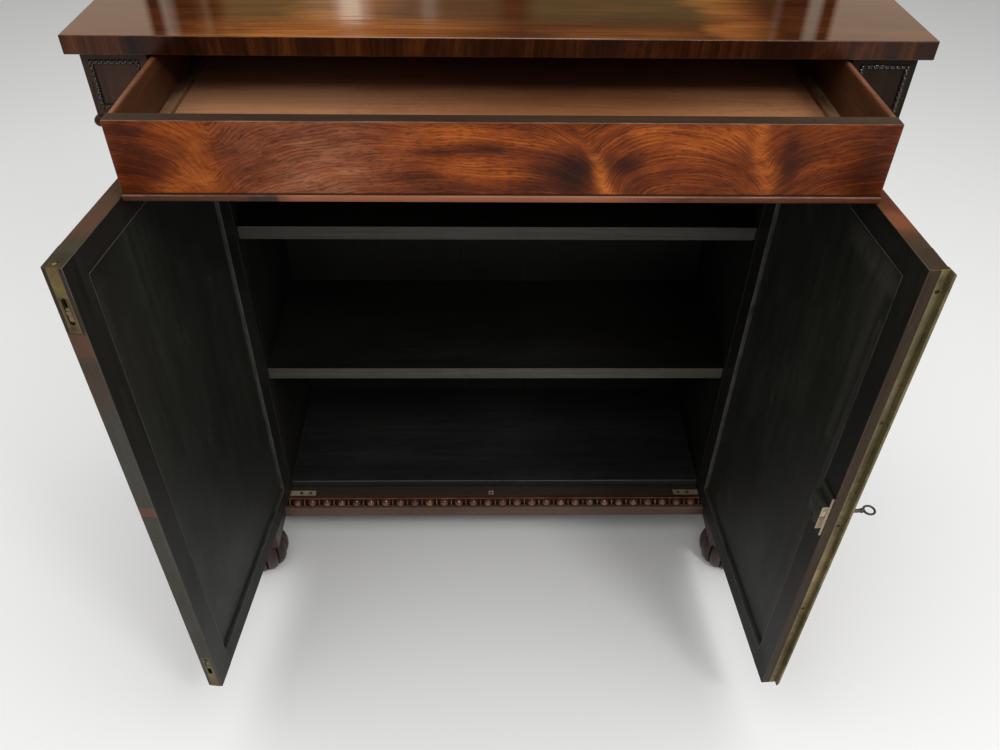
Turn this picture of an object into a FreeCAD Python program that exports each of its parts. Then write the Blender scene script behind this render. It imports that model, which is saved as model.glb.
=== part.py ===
import FreeCAD, Part
import math
import os
import re
from FreeCAD import Vector

# Chiffonier: a low cupboard with a thick top, a full-width frieze drawer, a
# pair of framed doors on centre pivots, two shelves, corner columns on plinth
# blocks and lobed feet.  Millimetres, +Z up, +X to the right, front towards -Y.
# Lengths along Y are counted in the sheet from the front edge of the top;
# y_org moves that edge so that the origin is midway front to back.

doc = FreeCAD.newDocument("Chiffonier")
sheet = doc.addObject("Spreadsheet::Sheet", "Sheet")

CELLS = [
    # alias, value, meaning
    ("y_org", 54.0, "front edge of the top to the origin"),
    ("full_height", 1020.0, "floor to the upper face of the top"),
    ("top_wide", 1000.0, "top, left to right"),
    ("top_deep", 402.0, "top, front to back"),
    ("top_thick", 22.0, "top"),
    ("case_half", 488.0, "half width over the case sides"),
    ("case_front", 12.0, "frieze front"),
    ("case_back", 392.0, "rear face of the back boards"),
    ("back_front", 382.0, "front face of the back boards"),
    ("bay_half", 411.0, "half width between the front posts"),
    ("open_half", 386.5, "half width of the cupboard opening"),
    ("frieze_low", 920.0, "underside of the frieze blocks"),
    ("torus_low", 906.0, "underside of the frieze torus"),
    ("torus_out", 6.0, "torus projection"),
    ("post_front", 94.0, "front face of the posts"),
    ("post_back", 138.0, "rear face of the posts"),
    ("stop_front", 116.2, "rebate that the doors close against"),
    ("side_thick", 18.0, "side panels"),
    ("lining_thick", 12.0, "inner side linings"),
    ("ledge_high", 125.0, "upper face of the base ledge"),
    ("mould_low", 102.5, "underside of the bead and reel strip"),
    ("plinth_low", 80.0, "underside of the plinth"),
    ("block_in", 400.6, "half width between the plinth blocks"),
    ("block_front", 11.0, "front of the plinth blocks"),
    ("rail_front", 86.5, "front of the plinth rail"),
    ("ledge_front", 98.0, "front of the ledge board"),
    ("ledge_back", 139.0, "rear of the ledge board"),
    ("bottom_front", 120.0, "front edge of the bottom board"),
    ("bottom_high", 142.0, "upper face of the bottom board"),
    ("shelf_front", 122.0, "front edge of the shelves"),
    ("shelf_thick", 22.0, "shelves"),
    ("shelf_a", 677.0, "underside of the upper shelf"),
    ("shelf_b", 400.0, "underside of the lower shelf"),
    ("dado", 3.0, "depth of the shelf housings"),
    ("rail_y", 34.0, "front of the drawer rail"),
    ("rail_high", 919.0, "upper face of the drawer rail"),
    ("joint_l", 59.0, "left joint of the back boards"),
    ("joint_r", 57.0, "right joint of the back boards"),
    ("drawer_half", 406.0, "half width of the drawer"),
    ("drawer_low", 904.7, "lower edge of the drawer front"),
    ("drawer_high", 995.0, "upper edge of the drawer front"),
    ("drawer_out", 175.7, "drawer pull at rest"),
    ("drawer_deep", 360.0, "drawer, front to back"),
    ("front_thick", 18.0, "drawer front"),
    ("dside", 7.0, "drawer sides"),
    ("dbox_low", 919.4, "lower edge of the drawer sides"),
    ("dbottom", 927.0, "underside of the drawer bottom"),
    ("slip_wide", 12.5, "drawer slips, width"),
    ("slip_high", 6.5, "drawer slips, height"),
    ("door_thick", 21.6, "doors"),
    ("door_wide", 407.2, "doors"),
    ("door_low", 127.5, "lower edge of the doors"),
    ("door_high", 903.7, "upper edge of the doors"),
    ("pivot_x", 397.2, "door pivots from the centre"),
    ("pivot_y", 105.0, "door pivots from the front edge of the top"),
    ("left_open", 95.8, "left door opening, degrees"),
    ("right_open", 93.8, "right door opening, degrees"),
    ("stile", 39.0, "door stiles"),
    ("rail_top", 33.5, "door top rails"),
    ("rail_bot", 37.5, "door bottom rails"),
    ("sunk", 6.0, "panel below the inner face"),
    ("panel_thick", 9.0, "door panels"),
    ("groove", 6.0, "panel grooves"),
    ("plate_long", 66.0, "pivot plates"),
    ("plate_wide", 12.0, "pivot plates"),
    ("plate_thick", 2.5, "pivot plates"),
    ("pin_rad", 2.5, "pivot pins"),
    ("pin_play", 0.06, "running play of pins and bolts"),
    ("bolt_rad", 2.5, "flush bolts"),
    ("bolt_in", 7.0, "flush bolt from the free edge"),
    ("bolt_plate", 80.0, "flush bolt plates, length"),
    ("key_u", 389.0, "key from the hinge edge"),
    ("key_z", 517.0, "key above the floor"),
    ("col_x", 450.0, "columns from the centre"),
    ("col_y", 50.5, "columns from the front edge of the top"),
    ("col_rad", 32.0, "widest radius of the columns"),
    ("foot_x", 444.3, "front feet from the centre"),
    ("foot_y", 52.0, "front feet from the front edge of the top"),
    ("foot_rad", 47.5, "widest radius of the front feet"),
    ("rear_x", 452.0, "rear feet from the centre"),
    ("rear_y", 356.0, "rear feet from the front edge of the top"),
    ("bead_gap", 27.75, "pitch of the large beads"),
    ("bead_rad", 8.6, "radius of the large beads"),
    ("pearl_rad", 2.5, "radius of the small beads"),
    ("frame_in", 424.0, "bead frame, inner side from the centre"),
    ("frame_wide", 53.6, "bead frame, centre to centre"),
    ("frame_low", 932.0, "bead frame, lower row"),
]
VAL = {}
for i, (alias, value, meaning) in enumerate(CELLS):
    row = i + 1
    sheet.set("A%d" % row, meaning)
    sheet.set("B%d" % row, repr(value))
    sheet.setAlias("B%d" % row, alias)
    VAL[alias] = value
doc.recompute()


def ex(text):
    """Turns plain alias names into references to the sheet."""
    text = str(text)
    return re.sub(r"[a-z][a-z_]*", lambda m: "Sheet." + m.group(0)
                  if m.group(0) in VAL else m.group(0), text)


NODES = []


def node(obj, name):
    obj.Label = name
    NODES.append(obj)
    return obj


def put(obj, x="0", y="0", z="0"):
    obj.setExpression("Placement", "placement(vector(%s; %s; %s); rotation(vector(0;0;1); 0))"
                      % (ex(x), ex(y), ex(z)))
    return obj


def from_front(y):
    return "(%s) - y_org" % y


# ---------------------------------------------------------------- solids ---
def box(name, x0, x1, y0, y1, z0, z1):
    b = doc.addObject("Part::Box", name)
    b.setExpression("Length", ex("(%s) - (%s)" % (x1, x0)))
    b.setExpression("Width", ex("(%s) - (%s)" % (y1, y0)))
    b.setExpression("Height", ex("(%s) - (%s)" % (z1, z0)))
    b.setExpression("Placement", "placement(vector(%s; %s; %s); rotation(vector(0;0;1); 0))"
                    % (ex(x0), ex(y0), ex(z0)))
    return b


def cyl(name, x, y, z, r, length, axis="z"):
    c = doc.addObject("Part::Cylinder", name)
    c.setExpression("Radius", ex(r))
    c.setExpression("Height", ex(length))
    turn = {"z": "vector(0;0;1); 0", "x": "vector(0;1;0); 90",
            "y": "vector(1;0;0); -90"}[axis]
    c.setExpression("Placement", "placement(vector(%s; %s; %s); rotation(%s))"
                    % (ex(x), ex(y), ex(z), turn))
    return c


def ball(name, x, y, z, r):
    s = doc.addObject("Part::Sphere", name)
    s.setExpression("Radius", ex(r))
    s.setExpression("Placement", "placement(vector(%s; %s; %s); rotation(vector(0;0;1); 0))"
                    % (ex(x), ex(y), ex(z)))
    return s


def cone(name, x, y, z, r1, r2, length, down=False):
    c = doc.addObject("Part::Cone", name)
    c.setExpression("Radius1", ex(r1))
    c.setExpression("Radius2", ex(r2))
    c.setExpression("Height", ex(length))
    turn = "vector(1;0;0); 180" if down else "vector(0;0;1); 0"
    c.setExpression("Placement", "placement(vector(%s; %s; %s); rotation(%s))"
                    % (ex(x), ex(y), ex(z), turn))
    return c


def fuse(name, parts):
    if len(parts) == 1:
        return parts[0]
    f = doc.addObject("Part::MultiFuse", name)
    f.Shapes = parts
    return f


def cut(name, base, tools):
    c = doc.addObject("Part::Cut", name)
    c.Base = base
    c.Tool = fuse(name + "_away", tools)
    return c


def group(name, parts):
    g = doc.addObject("Part::Compound", name)
    g.Links = parts
    return g


# -------------------------------------------------------------- sketches ---
def plane(body, role):
    return [f for f in body.Origin.OriginFeatures if f.Role == role][0]


def sketch(body, name, role="XY_Plane"):
    sk = body.newObject("Sketcher::SketchObject", name)
    sk.AttachmentSupport = [(plane(body, role), "")]
    sk.MapMode = "FlatFace"
    return sk


def outline(sk, points):
    """Closed outline; every corner is fixed by two lengths from the sheet.

    points: (x expression, y expression) pairs in the sketch's plane."""
    import Sketcher
    num = [(value_of(a), value_of(b)) for a, b in points]
    n = len(points)
    for i in range(n):
        p, q = num[i], num[(i + 1) % n]
        sk.addGeometry(Part.LineSegment(Vector(p[0], p[1], 0), Vector(q[0], q[1], 0)), False)
    for i in range(n):
        sk.addConstraint(Sketcher.Constraint("Coincident", i, 2, (i + 1) % n, 1))
    for i in range(n):
        for kind, e, v in (("DistanceX", points[i][0], num[i][0]),
                           ("DistanceY", points[i][1], num[i][1])):
            if abs(v) < 1e-9:
                # a corner on an axis of the sketch
                sk.addConstraint(Sketcher.Constraint(
                    "PointOnObject", i, 1, -2 if kind == "DistanceX" else -1))
                continue
            if v > 0:
                c = Sketcher.Constraint(kind, -1, 1, i, 1, v)
                text = e
            else:
                c = Sketcher.Constraint(kind, i, 1, -1, 1, -v)
                text = "-(%s)" % e
            k = sk.addConstraint(c)
            sk.setExpression("Constraints[%d]" % k, ex(text))


def value_of(text):
    """Number that an expression of sheet names stands for."""
    text = str(text)
    total = re.sub(r"[a-z][a-z_]*", lambda m: repr(VAL[m.group(0)]), text)
    return arithmetic(total)


def arithmetic(text):
    """Sums, differences, products and quotients with brackets."""
    tokens = re.findall(r"\d+\.\d+|\d+|[-+*/()]", text)
    pos = [0]

    def atom():
        t = tokens[pos[0]]
        pos[0] += 1
        if t == "(":
            v = expr()
            pos[0] += 1
            return v
        if t == "-":
            return -atom()
        if t == "+":
            return atom()
        return float(t)

    def term():
        v = atom()
        while pos[0] < len(tokens) and tokens[pos[0]] in "*/":
            op = tokens[pos[0]]
            pos[0] += 1
            w = atom()
            v = v * w if op == "*" else v / w
        return v

    def expr():
        v = term()
        while pos[0] < len(tokens) and tokens[pos[0]] in "+-":
            op = tokens[pos[0]]
            pos[0] += 1
            w = term()
            v = v + w if op == "+" else v - w
        return v

    return expr()


def plan_pad(name, points, high, z="0", x="0", y="0", role="XY_Plane"):
    """Board cut to an outline in plan and padded upwards."""
    b = doc.addObject("PartDesign::Body", name)
    sk = sketch(b, name + "_plan", role)
    outline(sk, points)
    pad = b.newObject("PartDesign::Pad", name + "_pad")
    pad.Profile = sk
    pad.setExpression("Length", ex(high))
    b.Tip = pad
    put(b, x, y, z)
    return b


def board(name, x0, x1, y0, y1, z0, z1):
    """Straight board between six faces, lengths from the sheet."""
    lx, ly = "(%s) - (%s)" % (x1, x0), "(%s) - (%s)" % (y1, y0)
    b = plan_pad(name, [("0", "0"), (lx, "0"), (lx, ly), ("0", ly)],
                 "(%s) - (%s)" % (z1, z0), z0, x0, from_front(y0))
    return node(b, name)


def turned(name, profile, x, y, z):
    """Turned piece: profile of (radius, height) pairs about the Z axis."""
    b = doc.addObject("PartDesign::Body", name)
    sk = sketch(b, name + "_profile", "XZ_Plane")
    outline(sk, profile)
    rev = b.newObject("PartDesign::Revolution", name + "_turned")
    rev.Profile = sk
    rev.ReferenceAxis = (sk, ["V_Axis"])
    rev.Angle = 360.0
    b.Tip = rev
    put(b, x, y, z)
    return b


# ------------------------------------------------------------------- top ---
top = doc.addObject("PartDesign::Body", "top_board")
sk = sketch(top, "top_board_plan")
outline(sk, [("-top_wide/2", "0"), ("top_wide/2", "0"),
             ("top_wide/2", "top_deep"), ("-top_wide/2", "top_deep")])
pad = top.newObject("PartDesign::Pad", "top_board_pad")
pad.Profile = sk
pad.setExpression("Length", ex("top_thick"))
doc.recompute()
upper = [i + 1 for i, f in enumerate(pad.Shape.Faces)
         if abs(f.CenterOfMass.z - VAL["top_thick"]) < 1e-6][0]
arris = top.newObject("PartDesign::Fillet", "top_board_arris")
arris.Base = (pad, ["Face%d" % upper])
arris.Radius = 1.2
top.Tip = arris
put(top, "0", from_front("0"), "full_height - top_thick")
node(top, "top_board")

# ---------------------------------------------------------------- frieze ---
under = "(full_height - top_thick)"
board("frieze_block_left", "-case_half", "-bay_half", "case_front", "post_back",
      "frieze_low", under)
board("frieze_block_right", "bay_half", "case_half", "case_front", "post_back",
      "frieze_low", under)

# frames of small beads on the frieze blocks: a thin strip with beads on it
PEARLS = 8


def bead_frame(side):
    tag = "bead_frame_" + side
    sgn = -1 if side == "left" else 1

    def xs(e):
        return "%d*(%s)" % (sgn, e) if sgn > 0 else "-(%s)" % e

    def xbox(n, a, b, y0, y1, z0, z1):
        if sgn > 0:
            return box(n, a, b, y0, y1, z0, z1)
        return box(n, "-(%s)" % b, "-(%s)" % a, y0, y1, z0, z1)

    strip = cut(tag + "_strip",
                xbox(tag + "_outer", "frame_in - 2.2", "frame_in + frame_wide + 2.2",
                     "-1.2", "0", "-2.2", "frame_wide + 2.2"),
                [xbox(tag + "_inner", "frame_in + 2.2", "frame_in + frame_wide - 2.2",
                      "-3", "3", "2.2", "frame_wide - 2.2")])
    parts = [strip]
    done = set()
    for k in range(PEARLS + 1):
        for a, b in ((k, 0), (k, PEARLS), (0, k), (PEARLS, k)):
            if (a, b) in done:
                continue
            done.add((a, b))
            parts.append(ball("%s_pearl_%d_%d" % (tag, a, b),
                              xs("frame_in + frame_wide*%d/%d" % (a, PEARLS)),
                              "-0.5", "frame_wide*%d/%d" % (b, PEARLS), "pearl_rad"))
    whole = fuse(tag + "_whole", parts)
    # nothing reaches into the block behind
    return cut(tag, whole, [xbox(tag + "_behind", "frame_in - 20", "frame_in + frame_wide + 20",
                                 "0", "20", "-20", "frame_wide + 20")])


beading = group("frieze_beading", [bead_frame("left"), bead_frame("right")])
put(beading, "0", from_front("case_front"), "frame_low")
node(beading, "frieze_beading")


# half-round torus below the frieze: front and outer side of each block, and
# back along the side panel
def torus(side):
    name = "frieze_torus_" + side
    r = "((frieze_low - torus_low)/2)"
    x_in = "(case_half + torus_out - (frieze_low - torus_low)/2)"
    y_in = "(case_front - torus_out + (frieze_low - torus_low)/2)"
    far = "case_back"
    neg = side == "left"

    def xb(n, a, b, y0, y1, z0, z1):
        if neg:
            return box(n, "-(%s)" % b, "-(%s)" % a, y0, y1, z0, z1)
        return box(n, a, b, y0, y1, z0, z1)
    core = xb(name + "_core", "bay_half", x_in, y_in, far, "0", "2*" + r)
    start = "-" + x_in if neg else "bay_half"
    front = cyl(name + "_front", start, y_in, r, r, x_in + " - bay_half", "x")
    side_r = cyl(name + "_side", ("-" if neg else "") + x_in, y_in, r, r,
                 far + " - " + y_in, "y")
    knob = ball(name + "_corner", ("-" if neg else "") + x_in, y_in, r, r)
    whole = fuse(name + "_whole", [core, front, side_r, knob])
    c = cut(name, whole, [xb(name + "_case", "bay_half - 10", "case_half",
                             "post_back", far + " + 10", "-10", "30")])
    put(c, "0", "-y_org", "torus_low")
    return node(c, name)


torus("left")
torus("right")

# --------------------------------------------------------------- columns ---
COLUMN = [  # (radius as a share of col_rad, height as a share of the column)
    (0.0, 0.0), (0.94, 0.0), (0.94, 0.0110), (0.97, 0.0125), (1.0, 0.0175),
    (1.0, 0.0225), (0.97, 0.0275), (0.92, 0.0300), (0.84, 0.0300), (0.84, 0.0340),
    (0.88, 0.0360), (0.88, 0.0400), (0.84, 0.0425), (0.78, 0.0450), (0.76, 0.0550),
    (0.77, 0.1500), (0.775, 0.3000), (0.765, 0.5000), (0.735, 0.7000), (0.69, 0.8800),
    (0.76, 0.8830), (0.79, 0.8865), (0.76, 0.8900), (0.69, 0.8930), (0.69, 0.9150),
    (0.72, 0.9250), (0.80, 0.9380), (0.88, 0.9480), (0.92, 0.9560), (0.92, 0.9620),
    (0.86, 0.9620), (0.86, 0.9680), (0.94, 0.9740), (1.0, 0.9800), (1.0, 1.0),
    (0.0, 1.0)]
for side, sgn in (("left", "-"), ("right", "")):
    prof = [("col_rad*%g" % a, "(torus_low - ledge_high)*%g" % b) for a, b in COLUMN]
    node(turned("column_" + side, prof, sgn + "col_x", from_front("col_y"), "ledge_high"),
         "column_" + side)

# ----------------------------------------------------------- case timber ---
# front posts, rebated for the doors
for side, s in (("left", "-"), ("right", "")):
    pts = [(s + "open_half", "stop_front"), (s + "bay_half", "stop_front"),
           (s + "bay_half", "post_front"), (s + "case_half", "post_front"),
           (s + "case_half", "post_back"), (s + "open_half", "post_back")]
    node(plan_pad("post_" + side, pts, "torus_low - ledge_high", "ledge_high",
                  "0", "-y_org"), "post_" + side)

board("side_panel_left", "-case_half", "side_thick - case_half", "post_back", "case_back",
      "ledge_high", under)
board("side_panel_right", "case_half - side_thick", "case_half", "post_back", "case_back",
      "ledge_high", under)

# inner linings, housed for the shelves
for side in ("left", "right"):
    name = "lining_" + side
    neg = side == "left"

    def xb(n, a, b, y0, y1, z0, z1):
        if neg:
            return box(n, "-(%s)" % b, "-(%s)" % a, y0, y1, z0, z1)
        return box(n, a, b, y0, y1, z0, z1)
    base = xb(name + "_board", "open_half", "open_half + lining_thick", "post_back",
              "back_front", "ledge_high", "torus_low")
    tools = [xb(name + "_house_a", "open_half - 5", "open_half + dado", "post_back - 5",
                "back_front + 5", "shelf_a", "shelf_a + shelf_thick + 0.1"),
             xb(name + "_house_b", "open_half - 5", "open_half + dado", "post_back - 5",
                "back_front + 5", "shelf_b", "shelf_b + shelf_thick + 0.1")]
    c = cut(name, base, tools)
    put(c, "0", "-y_org", "0")
    node(c, name)

# back of three upright boards
board("back_board_left", "side_thick - case_half", "-joint_l - 0.3", "back_front",
      "case_back", "mould_low", under)
board("back_board_centre", "-joint_l", "joint_r", "back_front", "case_back",
      "mould_low", under)
board("back_board_right", "joint_r + 0.3", "case_half - side_thick", "back_front",
      "case_back", "mould_low", under)

board("bottom_board", "0.2 - open_half", "open_half - 0.2", "bottom_front", "back_front",
      "ledge_high", "bottom_high")

for name, low in (("shelf_upper", "shelf_a"), ("shelf_lower", "shelf_b")):
    a, b = "(open_half - 0.2)", "(open_half + dado - 0.2)"
    pts = [("-" + a, "shelf_front"), (a, "shelf_front"), (a, "post_back + 0.2"),
           (b, "post_back + 0.2"), (b, "back_front"), ("-" + b, "back_front"),
           ("-" + b, "post_back + 0.2"), ("-" + a, "post_back + 0.2")]
    node(plan_pad(name, pts, "shelf_thick", low, "0", "-y_org"), name)

# -------------------------------------------------------- pivots, keeps ----
# one countersunk screw, head up, used as solid and as its own hole
HEAD, SHANK, SCREW = "3.1", "1.5", "11"


def screw(name, x, y, z, down=True):
    """Countersunk screw whose head lies at z; it runs down, or up."""
    if down:
        head = cone(name + "_head", x, y, z, HEAD, SHANK, "1.9", True)
        shank = cyl(name + "_shank", x, y, "(%s) - %s" % (z, SCREW), SHANK, SCREW)
    else:
        head = cone(name + "_head", x, y, z, HEAD, SHANK, "1.9", False)
        shank = cyl(name + "_shank", x, y, z, SHANK, SCREW)
    return fuse(name, [head, shank])


SCREW_X = ("(pivot_x - 30)", "(pivot_x - 47)")
plate_in = "(pivot_x - plate_long + 9)"
plate_out = "(pivot_x + 9)"


def sided(neg, name, a, b, y0, y1, z0, z1):
    if neg:
        return box(name, "-(%s)" % b, "-(%s)" % a, y0, y1, z0, z1)
    return box(name, a, b, y0, y1, z0, z1)


def plate_space(tag, neg, z0, z1):
    return sided(neg, tag, plate_in, plate_out, "pivot_y - plate_wide/2",
                 "pivot_y + plate_wide/2", z0, z1)


bolt_x = "(pivot_x + door_thick/2 - door_wide + bolt_in)"   # from the centre, closed

# drawer rail over the doors
tools = []
for neg in (True, False):
    s = "-" if neg else ""
    tag = "drawer_rail_l" if neg else "drawer_rail_r"
    tools.append(plate_space(tag + "_seat", neg, "torus_low - 1", "torus_low + plate_thick"))
    tools.append(cyl(tag + "_pin", s + "pivot_x", "pivot_y", "torus_low", "3.2", "6.5"))
    for k, sx in enumerate(SCREW_X):
        tools.append(screw("%s_screw%d" % (tag, k), s + sx, "pivot_y", "torus_low", False))
tools.append(box("drawer_rail_keep", "-" + bolt_x + " - 4.5", "-" + bolt_x + " + 4.5",
                 "pivot_y - 4.5", "pivot_y + 4.5", "torus_low - 1", "torus_low + 1.5"))
tools.append(cyl("drawer_rail_bolt", "-" + bolt_x, "pivot_y", "torus_low", "3.4", "11.5"))
c = cut("drawer_rail", box("drawer_rail_board", "0.1 - bay_half", "bay_half - 0.1", "rail_y",
                           "post_back", "torus_low", "rail_high"), tools)
put(c, "0", "-y_org", "0")
node(c, "drawer_rail")

# ledge board with its thin nosing
tools = []
for neg in (True, False):
    s = "-" if neg else ""
    tag = "ledge_l" if neg else "ledge_r"
    tools.append(plate_space(tag + "_seat", neg, "ledge_high - plate_thick", "ledge_high + 1"))
    tools.append(cyl(tag + "_pin", s + "pivot_x", "pivot_y", "ledge_high - 7", "3.2", "8"))
    for k, sx in enumerate(SCREW_X):
        tools.append(screw("%s_screw%d" % (tag, k), s + sx, "pivot_y", "ledge_high", True))
tools.append(box("ledge_keep", "-" + bolt_x + " - 4.5", "-" + bolt_x + " + 4.5",
                 "pivot_y - 4.5", "pivot_y + 4.5", "ledge_high - 1.5", "ledge_high + 1"))
tools.append(cyl("ledge_bolt", "-" + bolt_x, "pivot_y", "ledge_high - 17", "3.4", "18"))
body = fuse("ledge_solid", [
    box("ledge_flat", "side_thick - case_half", "case_half - side_thick", "ledge_front",
        "ledge_back", "mould_low", "ledge_high"),
    box("ledge_nose", "-block_in", "block_in", "rail_front + 4.5", "ledge_front + 1",
        "ledge_high - 2.5", "ledge_high")])
c = cut("ledge_board", body, tools)
put(c, "0", "-y_org", "0")
node(c, "ledge_board")

# brass keeps for the flush bolts
keeps = []
for tag, z0, z1 in (("low", "ledge_high - 1.5", "ledge_high"),
                    ("high", "torus_low", "torus_low + 1.5")):
    keeps.append(cut("keep_" + tag,
                     box("keep_%s_plate" % tag, "-" + bolt_x + " - 4.5", "-" + bolt_x + " + 4.5",
                         "pivot_y - 4.5", "pivot_y + 4.5", z0, z1),
                     [cyl("keep_%s_hole" % tag, "-" + bolt_x, "pivot_y", "(%s) - 1" % z0,
                          "2.9", "5")]))
k = group("bolt_keeps", keeps)
put(k, "0", "-y_org", "0")
node(k, "bolt_keeps")

# brass pivot plates in the ledge and in the drawer rail
plates, screws = [], []
for neg in (True, False):
    s = "-" if neg else ""
    for tag, z0, z1, head, down in (
            ("low", "ledge_high - plate_thick", "ledge_high", "ledge_high", True),
            ("high", "torus_low", "torus_low + plate_thick", "torus_low", False)):
        nm = "pivot_%s_%s" % ("l" if neg else "r", tag)
        tl = [cyl(nm + "_hole", s + "pivot_x", "pivot_y", "(%s) - 1" % z0,
                  "pin_rad + pin_play", "5")]
        for j, sx in enumerate(SCREW_X):
            tl.append(screw("%s_way%d" % (nm, j), s + sx, "pivot_y", head, down))
            screws.append(screw("%s_screw%d" % (nm, j), s + sx, "pivot_y", head, down))
        plates.append(cut(nm, plate_space(nm + "_plate", neg, z0, z1), tl))
g = group("case_pivot_plates", plates)
put(g, "0", "-y_org", "0")
node(g, "case_pivot_plates")
g = group("case_pivot_screws", screws)
put(g, "0", "-y_org", "0")
node(g, "case_pivot_screws")

# runners with guides beside the drawer
for side in ("left", "right"):
    neg = side == "left"
    name = "drawer_runner_" + side
    f = fuse(name, [
        sided(neg, name + "_flat", "open_half", "bay_half - 0.1", "post_back", "back_front",
              "torus_low", "rail_high"),
        sided(neg, name + "_guide", "drawer_half + 0.6", "bay_half - 0.1", "post_back",
              "back_front", "rail_high - 1", "rail_high + 17")])
    put(f, "0", "-y_org", "0")
    node(f, name)

# ---------------------------------------------------------------- plinth ---
board("plinth_block_left", "-case_half", "-block_in", "block_front", "ledge_front",
      "plinth_low", "ledge_high")
board("plinth_block_right", "block_in", "case_half", "block_front", "ledge_front",
      "plinth_low", "ledge_high")
board("plinth_side_left", "-case_half", "side_thick - case_half", "ledge_front", "case_back",
      "plinth_low", "ledge_high")
board("plinth_side_right", "case_half - side_thick", "case_half", "ledge_front", "case_back",
      "plinth_low", "ledge_high")
board("plinth_rail", "-block_in", "block_in", "rail_front", "rail_front + 18",
      "plinth_low", "mould_low")
board("rear_plinth_rail", "side_thick - case_half", "case_half - side_thick",
      "back_front - 18", "back_front", "plinth_low", "ledge_high")

# bead and reel strip: a flat strip, half-round beads and thin reels between
BEADS = 28
strip = doc.addObject("PartDesign::Body", "bead_and_reel")
sk = sketch(strip, "bead_and_reel_strip", "XY_Plane")
outline(sk, [("-block_in", "0"), ("block_in", "0"),
             ("block_in", "ledge_front - post_front"), ("-block_in", "ledge_front - post_front")])
pad = strip.newObject("PartDesign::Pad", "bead_and_reel_pad")
pad.Profile = sk
pad.setExpression("Length", ex("ledge_high - 2.5 - mould_low"))
pad.Midplane = True
strip.Tip = pad
doc.recompute()


def half_turned(body, name, profile):
    """Half-round piece turned about the X axis, in front of the strip."""
    s2 = sketch(body, name + "_profile", "XY_Plane")
    outline(s2, profile)
    r2 = body.newObject("PartDesign::Revolution", name)
    r2.Profile = s2
    r2.ReferenceAxis = (s2, ["H_Axis"])
    r2.Angle = 180.0
    r2.Midplane = True
    body.Tip = r2
    doc.recompute()
    return r2


first = "(bead_gap*%g)" % ((BEADS - 1) / 2.0)
round_pts = [("-%s - bead_rad" % first, "0")]
for j in range(1, 12):
    a = math.pi * j / 12
    round_pts.append(("-%s - bead_rad*%.5f" % (first, math.cos(a)), "-bead_rad*%.5f" % math.sin(a)))
round_pts.append(("-%s + bead_rad" % first, "0"))
bead = half_turned(strip, "bead_and_reel_bead", round_pts)
row = strip.newObject("PartDesign::LinearPattern", "bead_and_reel_beads")
row.Originals = [bead]
row.Direction = ([f for f in strip.Origin.OriginFeatures if f.Role == "X_Axis"][0], [""])
row.setExpression("Length", ex("bead_gap*%d" % (BEADS - 1)))
row.Occurrences = BEADS
strip.Tip = row
doc.recompute()
start = "(bead_gap*%g)" % (BEADS / 2.0)
reel = half_turned(strip, "bead_and_reel_reel", [
    ("-%s - 1.5" % start, "0"), ("-%s - 1.5" % start, "-bead_rad*0.62"),
    ("-%s - 0.6" % start, "-bead_rad*0.84"), ("-%s + 0.6" % start, "-bead_rad*0.84"),
    ("-%s + 1.5" % start, "-bead_rad*0.62"), ("-%s + 1.5" % start, "0")])
row2 = strip.newObject("PartDesign::LinearPattern", "bead_and_reel_reels")
row2.Originals = [reel]
row2.Direction = ([f for f in strip.Origin.OriginFeatures if f.Role == "X_Axis"][0], [""])
row2.setExpression("Length", ex("bead_gap*%d" % BEADS))
row2.Occurrences = BEADS + 1
strip.Tip = row2
put(strip, "0", from_front("post_front"), "(mould_low + ledge_high - 2.5)/2")
node(strip, "bead_and_reel")

# ------------------------------------------------------------------ feet ---
LOBES = 10
for side, sgn in (("left", "-"), ("right", "")):
    name = "front_foot_" + side
    core = cyl(name + "_core", "0", "0", "0", "foot_rad*0.68", "plinth_low")
    parts = [core, cyl(name + "_neck", "0", "0", "plinth_low - 6", "foot_rad*0.80", "6")]
    for j in range(LOBES):
        a = 2 * math.pi * (j + 0.5) / LOBES
        e = doc.addObject("Part::Ellipsoid", "%s_lobe%d" % (name, j))
        # Radius1 is the upright half-axis, Radius2 and Radius3 lie in plan
        e.setExpression("Radius1", ex("plinth_low*0.47"))
        e.setExpression("Radius2", ex("foot_rad*0.335"))
        e.setExpression("Radius3", ex("foot_rad*0.30"))
        e.setExpression("Placement", "placement(vector(%s; %s; %s); rotation(vector(0;0;1); %.6f))"
                        % (ex("foot_rad*0.665*%.6f" % math.cos(a)),
                           ex("foot_rad*0.665*%.6f" % math.sin(a)),
                           ex("plinth_low*0.47"), math.degrees(a)))
        parts.append(e)
    f = fuse(name, parts)
    put(f, sgn + "foot_x", from_front("foot_y"), "0")
    node(f, name)

REAR = [(0, 0), (26, 0), (31, 7), (34.5, 18), (36, 32), (35, 46), (31.5, 58), (27, 65),
        (26, 70), (31, 72), (32, 80), (0, 80)]
for side, sgn in (("left", "-"), ("right", "")):
    prof = [("%g" % a if a else "0", "plinth_low*%g/80" % b if b else "0") for a, b in REAR]
    node(turned("rear_foot_" + side, prof, sgn + "rear_x", from_front("rear_y"), "0"),
         "rear_foot_" + side)

# ---------------------------------------------------------------- drawer ---
# drawer lengths along Y are counted from the face of its front
DRAWER_Y = "case_front - drawer_out - y_org"


def dboard(name, x0, x1, y0, y1, z0, z1):
    lx, ly = "(%s) - (%s)" % (x1, x0), "(%s) - (%s)" % (y1, y0)
    b = plan_pad(name, [("0", "0"), (lx, "0"), (lx, ly), ("0", ly)],
                 "(%s) - (%s)" % (z1, z0), z0, x0, DRAWER_Y + " + (%s)" % y0)
    return node(b, name)


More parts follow.
